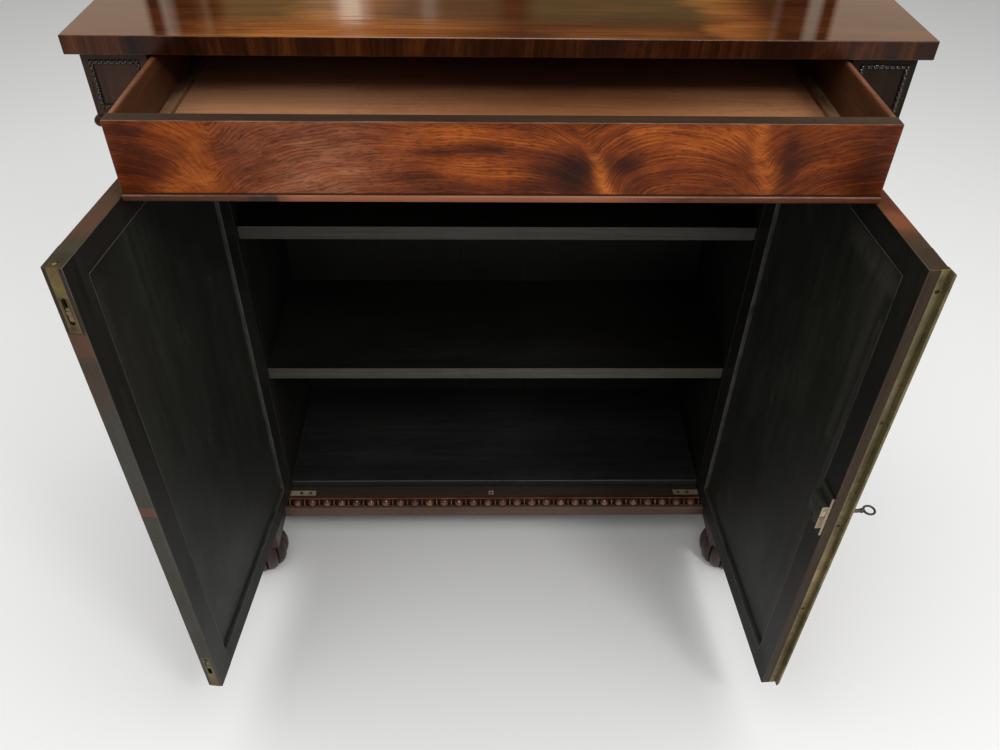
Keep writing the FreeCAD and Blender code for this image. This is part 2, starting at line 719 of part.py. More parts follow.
dboard("drawer_front", "-drawer_half", "drawer_half", "0", "front_thick",
       "drawer_low", "drawer_high")
dboard("drawer_side_left", "-drawer_half", "dside - drawer_half", "front_thick",
       "drawer_deep", "dbox_low", "drawer_high - 0.5")
dboard("drawer_side_right", "drawer_half - dside", "drawer_half", "front_thick",
       "drawer_deep", "dbox_low", "drawer_high - 0.5")
dboard("drawer_back", "dside - drawer_half", "drawer_half - dside", "drawer_deep - 8",
       "drawer_deep", "dbottom + 7", "drawer_high - 10")
dboard("drawer_bottom", "dside - drawer_half", "drawer_half - dside", "front_thick",
       "drawer_deep", "dbottom", "dbottom + 7")

slips = group("drawer_slips", [
    box("slip_left", "dside - drawer_half", "dside - drawer_half + slip_wide", "front_thick",
        "drawer_deep - 8", "dbottom + 7", "dbottom + 7 + slip_high"),
    box("slip_right", "drawer_half - dside - slip_wide", "drawer_half - dside", "front_thick",
        "drawer_deep - 8", "dbottom + 7", "dbottom + 7 + slip_high")])
put(slips, "0", DRAWER_Y, "0")
node(slips, "drawer_slips")

# moulded strip along the lower edge of the drawer front
strip = doc.addObject("PartDesign::Body", "drawer_bead")
sk = sketch(strip, "drawer_bead_section", "YZ_Plane")
outline(sk, [("0", "0"), ("0", "9.4"), ("-1.0", "9.4"), ("-1.0", "8.2"), ("-1.9", "7.4"),
             ("-2.4", "6.0"), ("-2.5", "4.4"), ("-2.3", "2.4"), ("-1.7", "0.9"), ("-0.8", "0.0")])
pad = strip.newObject("PartDesign::Pad", "drawer_bead_pad")
pad.Profile = sk
pad.setExpression("Length", ex("2*drawer_half"))
pad.Midplane = True
strip.Tip = pad
put(strip, "0", DRAWER_Y, "drawer_low")
node(strip, "drawer_bead")


# ----------------------------------------------------------------- doors ---
# Each door is drawn about its pivot line: u runs from the hinge edge to the
# free edge, v from the inner face outwards, and the whole is then turned open.
class Door:
    def __init__(self, side):
        self.side = side
        self.left = side == "left"

    def box(self, name, u0, u1, v0, v1, z0, z1):
        half = "door_thick/2"
        if self.left:
            x0, x1 = "(%s) - %s" % (u0, half), "(%s) - %s" % (u1, half)
        else:
            x0, x1 = "%s - (%s)" % (half, u1), "%s - (%s)" % (half, u0)
        return box(name, x0, x1, "%s - (%s)" % (half, v1), "%s - (%s)" % (half, v0), z0, z1)

    def x(self, u):
        return "(%s) - door_thick/2" % u if self.left else "door_thick/2 - (%s)" % u

    def y(self, v):
        return "door_thick/2 - (%s)" % v

    def place(self, obj):
        sx, ang = ("-pivot_x", "-left_open") if self.left else ("pivot_x", "right_open")
        obj.setExpression("Placement", "placement(vector(%s; %s; 0); rotation(vector(0;0;1); %s))"
                          % (ex(sx), ex("pivot_y - y_org"), ex(ang)))
        return obj

    def finish(self, obj, name):
        self.place(obj)
        return node(obj, name)


def door_frame(d, extra):
    """Two stiles and two rails, grooved for the panel, seats for the plates."""
    nm = d.side + "_door_"
    seats = [d.box(nm + "seat_low", "door_thick/2 - 8", "door_thick/2 + plate_long - 8",
                   "door_thick/2 - plate_wide/2", "door_thick/2 + plate_wide/2",
                   "door_low - 1", "door_low + plate_thick"),
             d.box(nm + "seat_high", "door_thick/2 - 8", "door_thick/2 + plate_long - 8",
                   "door_thick/2 - plate_wide/2", "door_thick/2 + plate_wide/2",
                   "door_high - plate_thick", "door_high + 1")]
    way = d.box(nm + "groove", "stile - groove", "door_wide - stile + groove", "sunk",
                "sunk + panel_thick", "door_low + rail_bot - groove",
                "door_high - rail_top + groove")
    hinge = fuse(nm + "hinge_solid", [
        d.box(nm + "hinge_flat", "door_thick/2", "stile", "0", "door_thick",
              "door_low", "door_high"),
        cyl(nm + "hinge_round", "0", "0", "door_low", "door_thick/2",
            "door_high - door_low")])
    pieces = [
        cut(nm + "hinge_stile", hinge, seats + [way]),
        cut(nm + "free_stile", d.box(nm + "free_solid", "door_wide - stile", "door_wide", "0",
                                     "door_thick", "door_low", "door_high"), [way] + extra),
        cut(nm + "top_rail", d.box(nm + "top_solid", "stile", "door_wide - stile", "0",
                                   "door_thick", "door_high - rail_top", "door_high"),
            [way, seats[1]]),
        cut(nm + "bottom_rail", d.box(nm + "bottom_solid", "stile", "door_wide - stile", "0",
                                      "door_thick", "door_low", "door_low + rail_bot"),
            [way, seats[0]])]
    d.finish(group(nm + "frame", pieces), nm + "frame")


def door_panel(d):
    nm = d.side + "_door_panel"
    p = d.box(nm + "_solid", "stile - groove + 0.2", "door_wide - stile + groove - 0.2", "sunk",
              "sunk + panel_thick", "door_low + rail_bot - groove + 0.2",
              "door_high - rail_top + groove - 0.2")
    d.finish(group(nm, [p]), nm)


def door_pivots(d):
    """Knife-hinge plates let into the ends of the hinge stile, with pins."""
    nm = d.side + "_door_pivots"
    sets = []
    for tag, z0, z1, b0, b1, p0 in (
            ("low", "door_low", "door_low + plate_thick", "ledge_high + 0.3", "door_low",
             "ledge_high - 4"),
            ("high", "door_high - plate_thick", "door_high", "door_high", "torus_low - 0.3",
             "torus_low - 2")):
        plate = d.box("%s_%s_plate" % (nm, tag), "door_thick/2 - 8",
                      "door_thick/2 + plate_long - 8", "door_thick/2 - plate_wide/2",
                      "door_thick/2 + plate_wide/2", z0, z1)
        boss = cyl("%s_%s_boss" % (nm, tag), "0", "0", b0, "5", "(%s) - (%s)" % (b1, b0))
        pin = cyl("%s_%s_pin" % (nm, tag), "0", "0", p0, "pin_rad", "6")
        sets.append(fuse("%s_%s" % (nm, tag), [plate, boss, pin]))
    d.finish(group(nm, sets), nm)


left, right = Door("left"), Door("right")
BU = "(door_wide - bolt_in)"          # flush bolts, from the hinge edge
BV = "door_thick/2"                   # and at mid thickness

# left door: seats, channels and slots of the two flush bolts
seats = []
for tag, up in (("top", True), ("bottom", False)):
    end = "door_high" if up else "door_low"
    sg = "-" if up else "+"

    def zz(a):
        return "%s %s (%s)" % (end, sg, a)

    def lo_hi(a, b):
        return (zz(b), zz(a)) if up else (zz(a), zz(b))

    z0, z1 = lo_hi("-1", "bolt_plate")
    seats.append(left.box(tag + "_seat_face", "door_wide - 2", "door_wide + 1",
                          BV + " - 6.4", BV + " + 6.4", z0, z1))
    z0, z1 = lo_hi("-1", "2")
    seats.append(left.box(tag + "_seat_end", "door_wide - 14", "door_wide + 1",
                          BV + " - 6.4", BV + " + 6.4", z0, z1))
    z0, z1 = lo_hi("1", "72")
    seats.append(cyl(tag + "_channel", left.x(BU), left.y(BV), z0, "bolt_rad + 0.5",
                     "(%s) - (%s)" % (z1, z0)))
    z0, z1 = lo_hi("33", "72")
    seats.append(left.box(tag + "_slotway", BU + " - 3", "door_wide - 1", BV + " - 3.2",
                          BV + " + 3.2", z0, z1))
door_frame(left, seats)
door_panel(left)
door_pivots(left)

# flush bolt plates: long leg on the free edge, short leg on the end
plates = []
for tag, up in (("top", True), ("bottom", False)):
    end = "door_high" if up else "door_low"
    sg = "-" if up else "+"

    def zz(a):
        return "%s %s (%s)" % (end, sg, a)

    def lo_hi(a, b):
        return (zz(b), zz(a)) if up else (zz(a), zz(b))

    z0, z1 = lo_hi("0", "bolt_plate")
    long_leg = left.box(tag + "_leg_long", "door_wide - 2", "door_wide", BV + " - 6.4",
                        BV + " + 6.4", z0, z1)
    z0, z1 = lo_hi("0", "2")
    short_leg = left.box(tag + "_leg_short", "door_wide - 14", "door_wide", BV + " - 6.4",
                         BV + " + 6.4", z0, z1)
    z0, z1 = lo_hi("36.5", "70")
    slot = left.box(tag + "_plate_slot", "door_wide - 4", "door_wide + 2", BV + " - 2.9",
                    BV + " + 2.9", z0, z1)
    z0, z1 = lo_hi("-2", "5")
    hole = cyl(tag + "_plate_hole", left.x(BU), left.y(BV), z0, "bolt_rad + pin_play",
               "(%s) - (%s)" % (z1, z0))
    plates.append(cut(tag + "_bolt_plate", fuse(tag + "_plate_solid", [long_leg, short_leg]),
                      [slot, hole]))
left.finish(group("flush_bolt_plates", plates), "flush_bolt_plates")

# the two sliding bolts with their thumb pieces
for tag, up in (("top", True), ("bottom", False)):
    end = "door_high" if up else "door_low"
    sg = "-" if up else "+"

    def zz(a):
        return "%s %s (%s)" % (end, sg, a)

    def lo_hi(a, b):
        return (zz(b), zz(a)) if up else (zz(a), zz(b))

    z0, z1 = lo_hi("0.3", "66")
    rod = cyl(tag + "_rod", left.x(BU), left.y(BV), z0, "bolt_rad", "(%s) - (%s)" % (z1, z0))
    z0, z1 = lo_hi("50", "66")
    neck = left.box(tag + "_neck", BU, "door_wide - 1.2", BV + " - 2.5", BV + " + 2.5", z0, z1)
    z0, z1 = lo_hi("53", "57")
    thumb = left.box(tag + "_thumb", BU, "door_wide - 0.1", BV + " - 2.5", BV + " + 2.5", z0, z1)
    left.finish(fuse(tag + "_bolt", [rod, neck, thumb]), tag + "_bolt")

# right door: recess for the brass strip, keyway
KV0 = "(0 - 3.5)"
away = [right.box("astragal_seat", "door_wide - 1.6", "door_wide + 1", "door_thick - 9",
                  "door_thick + 1", "door_low - 1", "door_high + 1"),
        cyl("key_way", right.x("key_u"), right.y("door_thick + 2"), "key_z", "4.2",
            "door_thick + 4", "y")]
HEADS = (145.0, 328.0, 511.0, 694.0, 877.0)
for j, hz in enumerate(HEADS):
    away.append(cyl("astragal_way%d" % j, right.x("door_wide"), right.y("door_thick - 4.6"),
                    "%g" % hz, "1.3", "12", "x"))
door_frame(right, away)
door_panel(right)
door_pivots(right)

# brass astragal: a leg let into the free edge and a half-round bead outside
leg = right.box("astragal_leg", "door_wide - 1.6", "door_wide", "door_thick - 9", "door_thick + 0.4",
                "door_low + 0.3", "door_high - 0.3")
bar = cyl("astragal_round", right.x("door_wide"), right.y("door_thick + 0.4"), "door_low + 0.3",
          "6.6", "door_high - door_low - 0.6")
flat = right.box("astragal_flat", "door_wide - 12", "door_wide + 12", "door_thick + 0.4",
                 "door_thick + 12", "door_low - 2", "door_high + 2")
half = doc.addObject("Part::Common", "astragal_bead")
half.Base = bar
half.Tool = flat
seat = right.box("astragal_under", "door_wide - 6.6", "door_wide", "door_thick", "door_thick + 0.4",
                 "door_low + 0.3", "door_high - 0.3")
ways = []
pins = []
for j, hz in enumerate(HEADS):
    ux = right.x("door_wide")
    vy = right.y("door_thick - 4.6")
    for kind, store in (("hole", ways), ("head", pins)):
        h = doc.addObject("Part::Cone", "astragal_%s%d" % (kind, j))
        h.setExpression("Radius1", "2.9")
        h.setExpression("Radius2", "1.3")
        h.setExpression("Height", "1.6")
        h.setExpression("Placement", "placement(vector(%s; %s; %g); rotation(vector(0;1;0); 90))"
                        % (ex(ux), ex(vy), hz))
        if kind == "head":
            s = cyl("astragal_shank%d" % j, ux, vy, "%g" % hz, "1.3", "12", "x")
            store.append(fuse("astragal_screw%d" % j, [h, s]))
        else:
            store.append(h)
a = cut("astragal", fuse("astragal_solid", [leg, half, seat]), ways)
right.finish(a, "astragal")
right.finish(group("astragal_screws", pins), "astragal_screws")

# rim lock on the inner face: base plate and case, hollow for bolt and bit
plate = right.box("lock_plate", "door_wide - 36", "door_wide - 1.7", "-3.5", "0",
                  "key_z - 25", "key_z + 45")
shell = right.box("lock_shell", "door_wide - 34", "door_wide - 1.7", "-12.4", "-3",
                  "key_z - 10", "key_z + 30")
room = [right.box("lock_bolt_way", "door_wide - 30", "door_wide + 2", "-11.4", "-4.6",
                  "key_z + 10.6", "key_z + 22.4"),
        cyl("lock_bit_room", right.x("key_u"), right.y("-4.6"), "key_z", "8", "6.8", "y"),
        cyl("lock_key_way", right.x("key_u"), right.y("1"), "key_z", "pin_rad + pin_play",
            "12", "y")]
right.finish(cut("lock_case", fuse("lock_solid", [plate, shell]), room), "lock_case")

bolt = right.box("lock_bolt_solid", "door_wide - 26", "door_wide - 2.2", "-11.1", "-4.9",
                 "key_z + 11", "key_z + 22")
right.finish(group("lock_bolt", [bolt]), "lock_bolt")

# key: shank through the stile, bit in the lock, oval bow outside
shank = cyl("key_shank", right.x("key_u"), right.y("door_thick + 35.0"), "key_z", "pin_rad",
            "door_thick + 35.0 + 11", "y")
bit = right.box("key_bit", "key_u + 1.5", "key_u + 7.4", "-10.6", "-5.4", "key_z - 1", "key_z + 1")
collar = cyl("key_collar", right.x("key_u"), right.y("door_thick + 33.8"), "key_z", "3.3", "3", "y")
# the bow is a swept ring, wider along the door than along the shank
bow = doc.addObject("Part::Torus", "key_bow_round")
bow.setExpression("Radius1", "7.1")
bow.setExpression("Radius2", "1.45")
bow.setExpression("Placement", "placement(vector(%s; %s; %s); rotation(vector(0;0;1); 0))"
                  % (ex(right.x("key_u")), ex(right.y("door_thick + 42.4")), ex("key_z")))
right.finish(fuse("key", [shank, bit, collar, bow]), "key")

# escutcheon around the keyhole
esc = cut("escutcheon",
          cyl("escutcheon_disc", right.x("key_u"), right.y("door_thick + 1.2"), "key_z", "8",
              "1.2", "y"),
          [cyl("escutcheon_hole", right.x("key_u"), right.y("door_thick + 2"), "key_z", "3.4",
               "3", "y")])
right.finish(esc, "escutcheon")

# --------------------------------------------------------------- writing ---
doc.recompute()
bad = [o.Name for o in doc.Objects if "Invalid" in o.State or "Error" in o.State]
if bad:
    raise RuntimeError("objects in error: " + ", ".join(bad))
os.makedirs("parts", exist_ok=True)
names = [o.Label for o in NODES]
if len(set(names)) != len(names) or len(names) > 60:
    raise RuntimeError("node names: %d" % len(names))
for o in NODES:
    s = o.Shape
    if s.isNull() or not s.isValid() or not s.Solids:
        raise RuntimeError("bad shape: " + o.Label)
for o in NODES:
    o.Shape.exportStep("parts/%s.step" % o.Label)
print("%d nodes" % len(NODES))
for o in NODES:
    bb = o.Shape.BoundBox
    print("%-22s %2d solids  x %.1f..%.1f  y %.1f..%.1f  z %.1f..%.1f  vol %.0f"
          % (o.Label, len(o.Shape.Solids), bb.XMin, bb.XMax, bb.YMin, bb.YMax, bb.ZMin,
             bb.ZMax, o.Shape.Volume))
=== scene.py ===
import math
import random

import bmesh
import bpy
import numpy as np
from mathutils import Matrix, Vector


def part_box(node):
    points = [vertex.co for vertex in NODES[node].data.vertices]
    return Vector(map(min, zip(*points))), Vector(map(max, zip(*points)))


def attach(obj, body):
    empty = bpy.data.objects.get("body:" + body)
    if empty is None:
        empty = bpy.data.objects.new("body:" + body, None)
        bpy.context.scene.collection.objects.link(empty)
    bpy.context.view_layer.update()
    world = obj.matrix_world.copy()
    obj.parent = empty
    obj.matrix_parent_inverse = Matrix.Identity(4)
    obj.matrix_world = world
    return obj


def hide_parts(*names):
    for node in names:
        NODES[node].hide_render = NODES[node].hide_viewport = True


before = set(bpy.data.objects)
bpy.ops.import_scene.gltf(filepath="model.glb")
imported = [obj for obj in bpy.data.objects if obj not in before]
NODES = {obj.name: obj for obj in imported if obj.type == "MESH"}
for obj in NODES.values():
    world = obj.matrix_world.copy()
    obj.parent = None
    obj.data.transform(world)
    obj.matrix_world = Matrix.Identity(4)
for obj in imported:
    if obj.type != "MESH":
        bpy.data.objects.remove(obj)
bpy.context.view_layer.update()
scene = bpy.context.scene
MM = 0.001

# ------------------------------------------------------------------ camera ---
CAM_AT = Vector((-0.023555, -1.03902, 1.374566))
YAW, PITCH, ROLL = 0.02658490210971198, 0.7177646762418229, 0.016955805192064577
fwd = Vector((math.sin(YAW) * math.cos(PITCH), math.cos(YAW) * math.cos(PITCH), -math.sin(PITCH)))
right = Vector((math.cos(YAW), -math.sin(YAW), 0.0))
up = right.cross(fwd)
r2 = math.cos(ROLL) * right + math.sin(ROLL) * up
u2 = -math.sin(ROLL) * right + math.cos(ROLL) * up
cam_data = bpy.data.cameras.new("camera")
cam_data.sensor_fit = "HORIZONTAL"
cam_data.sensor_width = 36.0
cam_data.lens = 0.8618938201607121 * 36.0
cam_data.clip_start = 0.05
cam_data.clip_end = 200.0
camera = bpy.data.objects.new("camera", cam_data)
scene.collection.objects.link(camera)
camera.matrix_world = Matrix((
    (r2.x, u2.x, -fwd.x, CAM_AT.x),
    (r2.y, u2.y, -fwd.y, CAM_AT.y),
    (r2.z, u2.z, -fwd.z, CAM_AT.z),
    (0, 0, 0, 1)))
scene.camera = camera


# --------------------------------------------------------------- materials ---
class Tree:
    """Small writer of shader nodes; a socket or a plain value goes anywhere."""

    def __init__(self, name):
        self.mat = bpy.data.materials.new(name)
        self.mat.use_nodes = True
        self.nt = self.mat.node_tree
        self.nt.nodes.clear()
        self.out = self.nt.nodes.new("ShaderNodeOutputMaterial")

    def new(self, kind):
        return self.nt.nodes.new("ShaderNode" + kind)

    def put(self, socket, value):
        if isinstance(value, bpy.types.NodeSocket):
            self.nt.links.new(value, socket)
        elif value is not None:
            if hasattr(socket.default_value, "__len__") and len(socket.default_value) == 4 \
                    and len(value) == 3:
                value = (*value, 1.0)
            socket.default_value = value

    def principled(self, **kw):
        b = self.new("BsdfPrincipled")
        for k, v in kw.items():
            self.put(b.inputs[k.replace("_", " ")], v)
        self.nt.links.new(b.outputs[0], self.out.inputs["Surface"])
        return b

    def math(self, op, a, b=None, c=None, clamp=False):
        n = self.new("Math")
        n.operation = op
        n.use_clamp = clamp
        for s, v in zip(n.inputs, (a, b, c)):
            self.put(s, v)
        return n.outputs[0]

    def add(self, a, b):
        return self.math("ADD", a, b)

    def sub(self, a, b):
        return self.math("SUBTRACT", a, b)

    def mul(self, a, b):
        return self.math("MULTIPLY", a, b)

    def sep(self, v):
        n = self.new("SeparateXYZ")
        self.put(n.inputs[0], v)
        return n.outputs

    def comb(self, x=0.0, y=0.0, z=0.0):
        n = self.new("CombineXYZ")
        for s, v in zip(n.inputs, (x, y, z)):
            self.put(s, v)
        return n.outputs[0]

    def attr(self, name, out="Vector"):
        n = self.new("Attribute")
        n.attribute_name = name
        return n.outputs[out]

    def obj(self):
        return self.new("TexCoord").outputs["Object"]

    def noise(self, v, scale=1.0, detail=2.0, rough=0.5, dist=0.0, out="Fac"):
        n = self.new("TexNoise")
        self.put(n.inputs["Vector"], v)
        n.inputs["Scale"].default_value = scale
        n.inputs["Detail"].default_value = detail
        n.inputs["Roughness"].default_value = rough
        n.inputs["Distortion"].default_value = dist
        return n.outputs[out]

    def noise1(self, w, scale=1.0, detail=2.0, rough=0.5):
        n = self.new("TexNoise")
        n.noise_dimensions = "1D"
        self.put(n.inputs["W"], w)
        n.inputs["Scale"].default_value = scale
        n.inputs["Detail"].default_value = detail
        n.inputs["Roughness"].default_value = rough
        return n.outputs["Fac"]

    def voronoi(self, v, scale=1.0, feature="F1", rand=1.0):
        n = self.new("TexVoronoi")
        n.feature = feature
        self.put(n.inputs["Vector"], v)
        n.inputs["Scale"].default_value = scale
        n.inputs["Randomness"].default_value = rand
        return n.outputs["Distance"]

    def span(self, v, a, b, lo=0.0, hi=1.0, smooth=True):
        """v from a..b to lo..hi, held at the ends."""
        n = self.new("MapRange")
        n.interpolation_type = "SMOOTHSTEP" if smooth else "LINEAR"
        self.put(n.inputs["Value"], v)
        n.inputs["From Min"].default_value = a
        n.inputs["From Max"].default_value = b
        n.inputs["To Min"].default_value = lo
        n.inputs["To Max"].default_value = hi
        return n.outputs["Result"]

    def ramp(self, fac, stops, interp="LINEAR"):
        n = self.new("ValToRGB")
        n.color_ramp.interpolation = interp
        el = n.color_ramp.elements
        while len(el) > 1:
            el.remove(el[-1])
        el[0].position, el[0].color = stops[0][0], (*stops[0][1], 1.0)
        for pos, col in stops[1:]:
            e = el.new(pos)
            e.color = (*col, 1.0)
        self.put(n.inputs["Fac"], fac)
        return n.outputs["Color"]

    def mix(self, fac, a, b, mode="MIX"):
        n = self.new("Mix")
        n.data_type = "RGBA"
        n.blend_type = mode
        n.clamp_factor = True
        self.put(n.inputs["Factor"], fac)
        self.put([s for s in n.inputs if s.name == "A" and s.type == "RGBA"][0], a)
        self.put([s for s in n.inputs if s.name == "B" and s.type == "RGBA"][0], b)
        return [s for s in n.outputs if s.type == "RGBA"][0]

    def tint(self, colour, value):
        """colour times a grey value."""
        n = self.new("VectorMath")
        n.operation = "SCALE"
        self.put(n.inputs[0], colour)
        self.put(n.inputs["Scale"], value)
        return n.outputs[0]

    def bump(self, height, dist=0.0005, strength=1.0, normal=None):
        n = self.new("Bump")
        n.inputs["Strength"].default_value = strength
        n.inputs["Distance"].default_value = dist
        self.put(n.inputs["Height"], height)
        if normal is not None:
            self.put(n.inputs["Normal"], normal)
        return n.outputs[0]


MATS = {}


def grain_of(t, coords):
    """(along, across, depth) in metres, as sockets."""
    if coords == "grain":
        s = t.sep(t.attr("grain"))
        return s[0], s[1], s[2]
    s = t.sep(t.obj())
    return tuple(s["xyz".index(c)] for c in coords)


def rosewood(name, coords="grain", dark=(0.012, 0.0045, 0.003), mid=(0.062, 0.0175, 0.0075),
             light=(0.17, 0.055, 0.018), line=(0.008, 0.0035, 0.0028), wear=(0.11, 0.062, 0.04),
             worn=0.5, gloss=0.24, bands=26.0, spec=0.2, lines=0.75, coat=0.0, seedx=0.0,
             tone_gain=0.5, pores=0.45):
    """Rosewood: red-brown bands, near-black lines, fine pores, soft polish."""
    if name in MATS:
        return MATS[name]
    t = Tree(name)
    x, y, z = grain_of(t, coords)
    if seedx:
        x = t.add(x, seedx)
    big = t.noise(t.comb(t.mul(x, 2.1), t.mul(y, 5.0), t.mul(z, 5.0)), 1.0, 2.0, 0.55)
    wob = t.mul(t.sub(big, 0.5), 0.075)
    fine_w = t.noise(t.comb(t.mul(x, 9.0), t.mul(y, 24.0), t.mul(z, 24.0)), 1.0, 2.0)
    wob = t.add(wob, t.mul(t.sub(fine_w, 0.5), 0.007))
    yy, zz = t.add(y, wob), t.add(z, t.mul(wob, 0.7))
    band = t.noise(t.comb(t.mul(x, 0.9), t.mul(yy, bands), t.mul(zz, bands)), 1.0, 3.0, 0.6)
    streak = t.noise(t.comb(t.mul(x, 4.0), t.mul(yy, bands * 9), t.mul(zz, bands * 9)), 1.0, 3.0, 0.6)
    tone = t.noise(t.comb(t.mul(x, 3.4), t.mul(yy, 9.0), t.mul(zz, 9.0)), 1.0, 2.0, 0.5)
    v = t.add(t.add(t.mul(band, 0.62), t.mul(streak, 0.25)), t.mul(t.sub(tone, 0.5), tone_gain))
    col = t.ramp(v, [(0.18, dark), (0.42, mid), (0.60, tuple(0.55 * a + 0.45 * b for a, b in zip(mid, light))),
                     (0.80, light)])
    # near-black ring lines
    ln = t.noise(t.comb(t.mul(x, 0.8), t.mul(yy, bands * 2.7), t.mul(zz, bands * 2.7)), 1.0, 1.0, 0.5)
    near = t.math("ABSOLUTE", t.sub(ln, 0.5))
    black = t.mul(t.span(near, 0.0, 0.028, 1.0, 0.0), t.span(tone, 0.40, 0.62, 0.15, 1.0))
    col = t.mix(t.mul(black, lines), col, line)
    # pores: short dark dashes along the grain
    pr = t.noise(t.comb(t.mul(x, 130.0), t.mul(yy, 1700.0), t.mul(zz, 1700.0)), 1.0, 1.0, 0.5)
    pore = t.span(pr, 0.60, 0.70)
    col = t.mix(t.mul(pore, pores), col, tuple(c * 0.35 for c in dark))
    rough_v = t.add(t.span(t.noise(t.comb(t.mul(x, 5.0), t.mul(y, 7.0), t.mul(z, 7.0)), 1.0, 4.0, 0.6),
                           0.3, 0.75, gloss * 0.85, gloss * 1.35), t.mul(pore, 0.12))
    if coords == "grain":
        edge = t.attr("edge", "Fac")
        rub = t.mul(edge, t.span(t.noise(t.comb(t.mul(x, 22.0), t.mul(y, 40.0), t.mul(z, 40.0)), 1.0, 3.0, 0.6),
                                 0.38, 0.66, 0.15, 1.0))
        col = t.mix(t.mul(rub, worn), col, wear)
        rough_v = t.add(rough_v, t.mul(rub, 0.1))
    ht = t.sub(t.mul(streak, 0.35), t.mul(pore, 0.5))
    slow = t.noise(t.comb(t.mul(x, 3.0), t.mul(y, 7.0), t.mul(z, 7.0)), 1.0, 1.0)
    nrm = t.bump(ht, 0.00006, 1.0, t.bump(slow, 0.0012, 0.6))
    t.principled(Base_Color=col, Roughness=rough_v, Specular_IOR_Level=spec, Normal=nrm,
                 Coat_Weight=coat, Coat_Roughness=0.1)
    MATS[name] = t.mat
    return t.mat


def top_figure(name):
    """Polished slab: straight dark figure, an orange part left of the middle that is partly painted reflection, and a
    painted highlight along the arrises in the middle.
    """
    t = Tree(name)
    g = t.sep(t.attr("grain"))
    place = t.sep(t.attr("fig"))
    x, y, px, py = g[0], g[1], place[0], place[1]
    wob = t.mul(t.sub(t.noise(t.comb(t.mul(x, 2.2), t.mul(y, 6.0), 0.0), 1.0, 2.0), 0.5), 0.05)
    yy = t.add(y, wob)
    band = t.noise(t.comb(t.mul(x, 1.6), t.mul(yy, 30.0), 0.0), 1.0, 3.0, 0.6)
    fine = t.noise(t.comb(t.mul(x, 6.0), t.mul(yy, 260.0), 3.0), 1.0, 3.0, 0.62)
    blot = t.noise(t.comb(t.mul(x, 7.0), t.mul(y, 20.0), 5.0), 1.0, 3.0, 0.6)
    v = t.add(t.add(t.mul(band, 0.46), t.mul(fine, 0.26)), t.mul(blot, 0.28))
    dark = t.ramp(v, [(0.30, (0.016, 0.0042, 0.0018)), (0.46, (0.038, 0.0100, 0.0034)),
                      (0.58, (0.062, 0.0175, 0.0056)), (0.74, (0.105, 0.034, 0.0105))])
    warm = t.ramp(v, [(0.30, (0.11, 0.031, 0.0070)), (0.48, (0.24, 0.078, 0.0180)),
                      (0.60, (0.34, 0.125, 0.0300)), (0.76, (0.45, 0.185, 0.050))])
    sh = t.mul(t.sub(blot, 0.5), 0.10)
    qx, qy = t.add(px, sh), t.add(py, t.mul(sh, 0.20))
    # warm areas by place on the slab: partly the wood's orange figure, partly painted reflection; m2 and m4 run the
    # whole depth as two light bands
    m1 = t.mul(t.mul(t.span(qx, -0.42, -0.27), t.span(qx, -0.16, 0.06, 1.0, 0.0)), t.span(qy, -0.022, 0.020, 1.0, 0.10))
    m2 = t.mul(t.span(qx, 0.222, 0.268), t.span(qx, 0.274, 0.330, 1.0, 0.0))
    m4 = t.mul(t.span(qx, -0.290, -0.205), t.span(qx, -0.185, -0.090, 1.0, 0.0))
    m3 = t.mul(t.mul(t.span(qx, -0.02, 0.10), t.span(qx, 0.16, 0.30, 1.0, 0.0)), t.span(qy, -0.045, -0.010, 0.55, 0.0))
    m = t.math("MAXIMUM", t.math("MAXIMUM", m1, t.mul(m2, 0.70)), t.math("MAXIMUM", m3, t.mul(m4, 0.62)))
    m = t.mul(m, t.span(v, 0.36, 0.56, 0.55, 1.0))
    col = t.mix(t.mul(m, 0.95), dark, warm)
    pr = t.noise(t.comb(t.mul(x, 130.0), t.mul(yy, 1600.0), 0.0), 1.0, 1.0, 0.5)
    col = t.mix(t.mul(t.span(pr, 0.60, 0.70), 0.25), col, (0.008, 0.003, 0.002))
    edge = t.attr("edge", "Fac")
    # arrises: worn brown at the ends; in the middle a pale pink-white painted highlight line
    arris_highlight_zone = t.mul(t.span(px, -0.27, -0.18), t.span(px, 0.10, 0.19, 1.0, 0.0))
    col = t.mix(t.mul(edge, t.add(0.35, t.mul(arris_highlight_zone, 0.6))), col, t.mix(arris_highlight_zone, (0.16, 0.09, 0.06), (0.62, 0.54, 0.54)))
    rough_v = t.add(t.span(t.noise(t.comb(t.mul(x, 8.0), t.mul(y, 14.0), 0.0), 1.0, 4.0, 0.65), 0.3, 0.75, 0.026, 0.052),
                    t.mul(edge, 0.15))
    nrm = t.bump(t.noise(t.comb(t.mul(x, 9.0), t.mul(y, 70.0), 0.0), 1.0, 2.0, 0.6), 0.00016, 0.5)
    t.principled(Base_Color=col, Roughness=rough_v, Specular_IOR_Level=0.5, Normal=nrm)
    MATS[name] = t.mat
    return t.mat


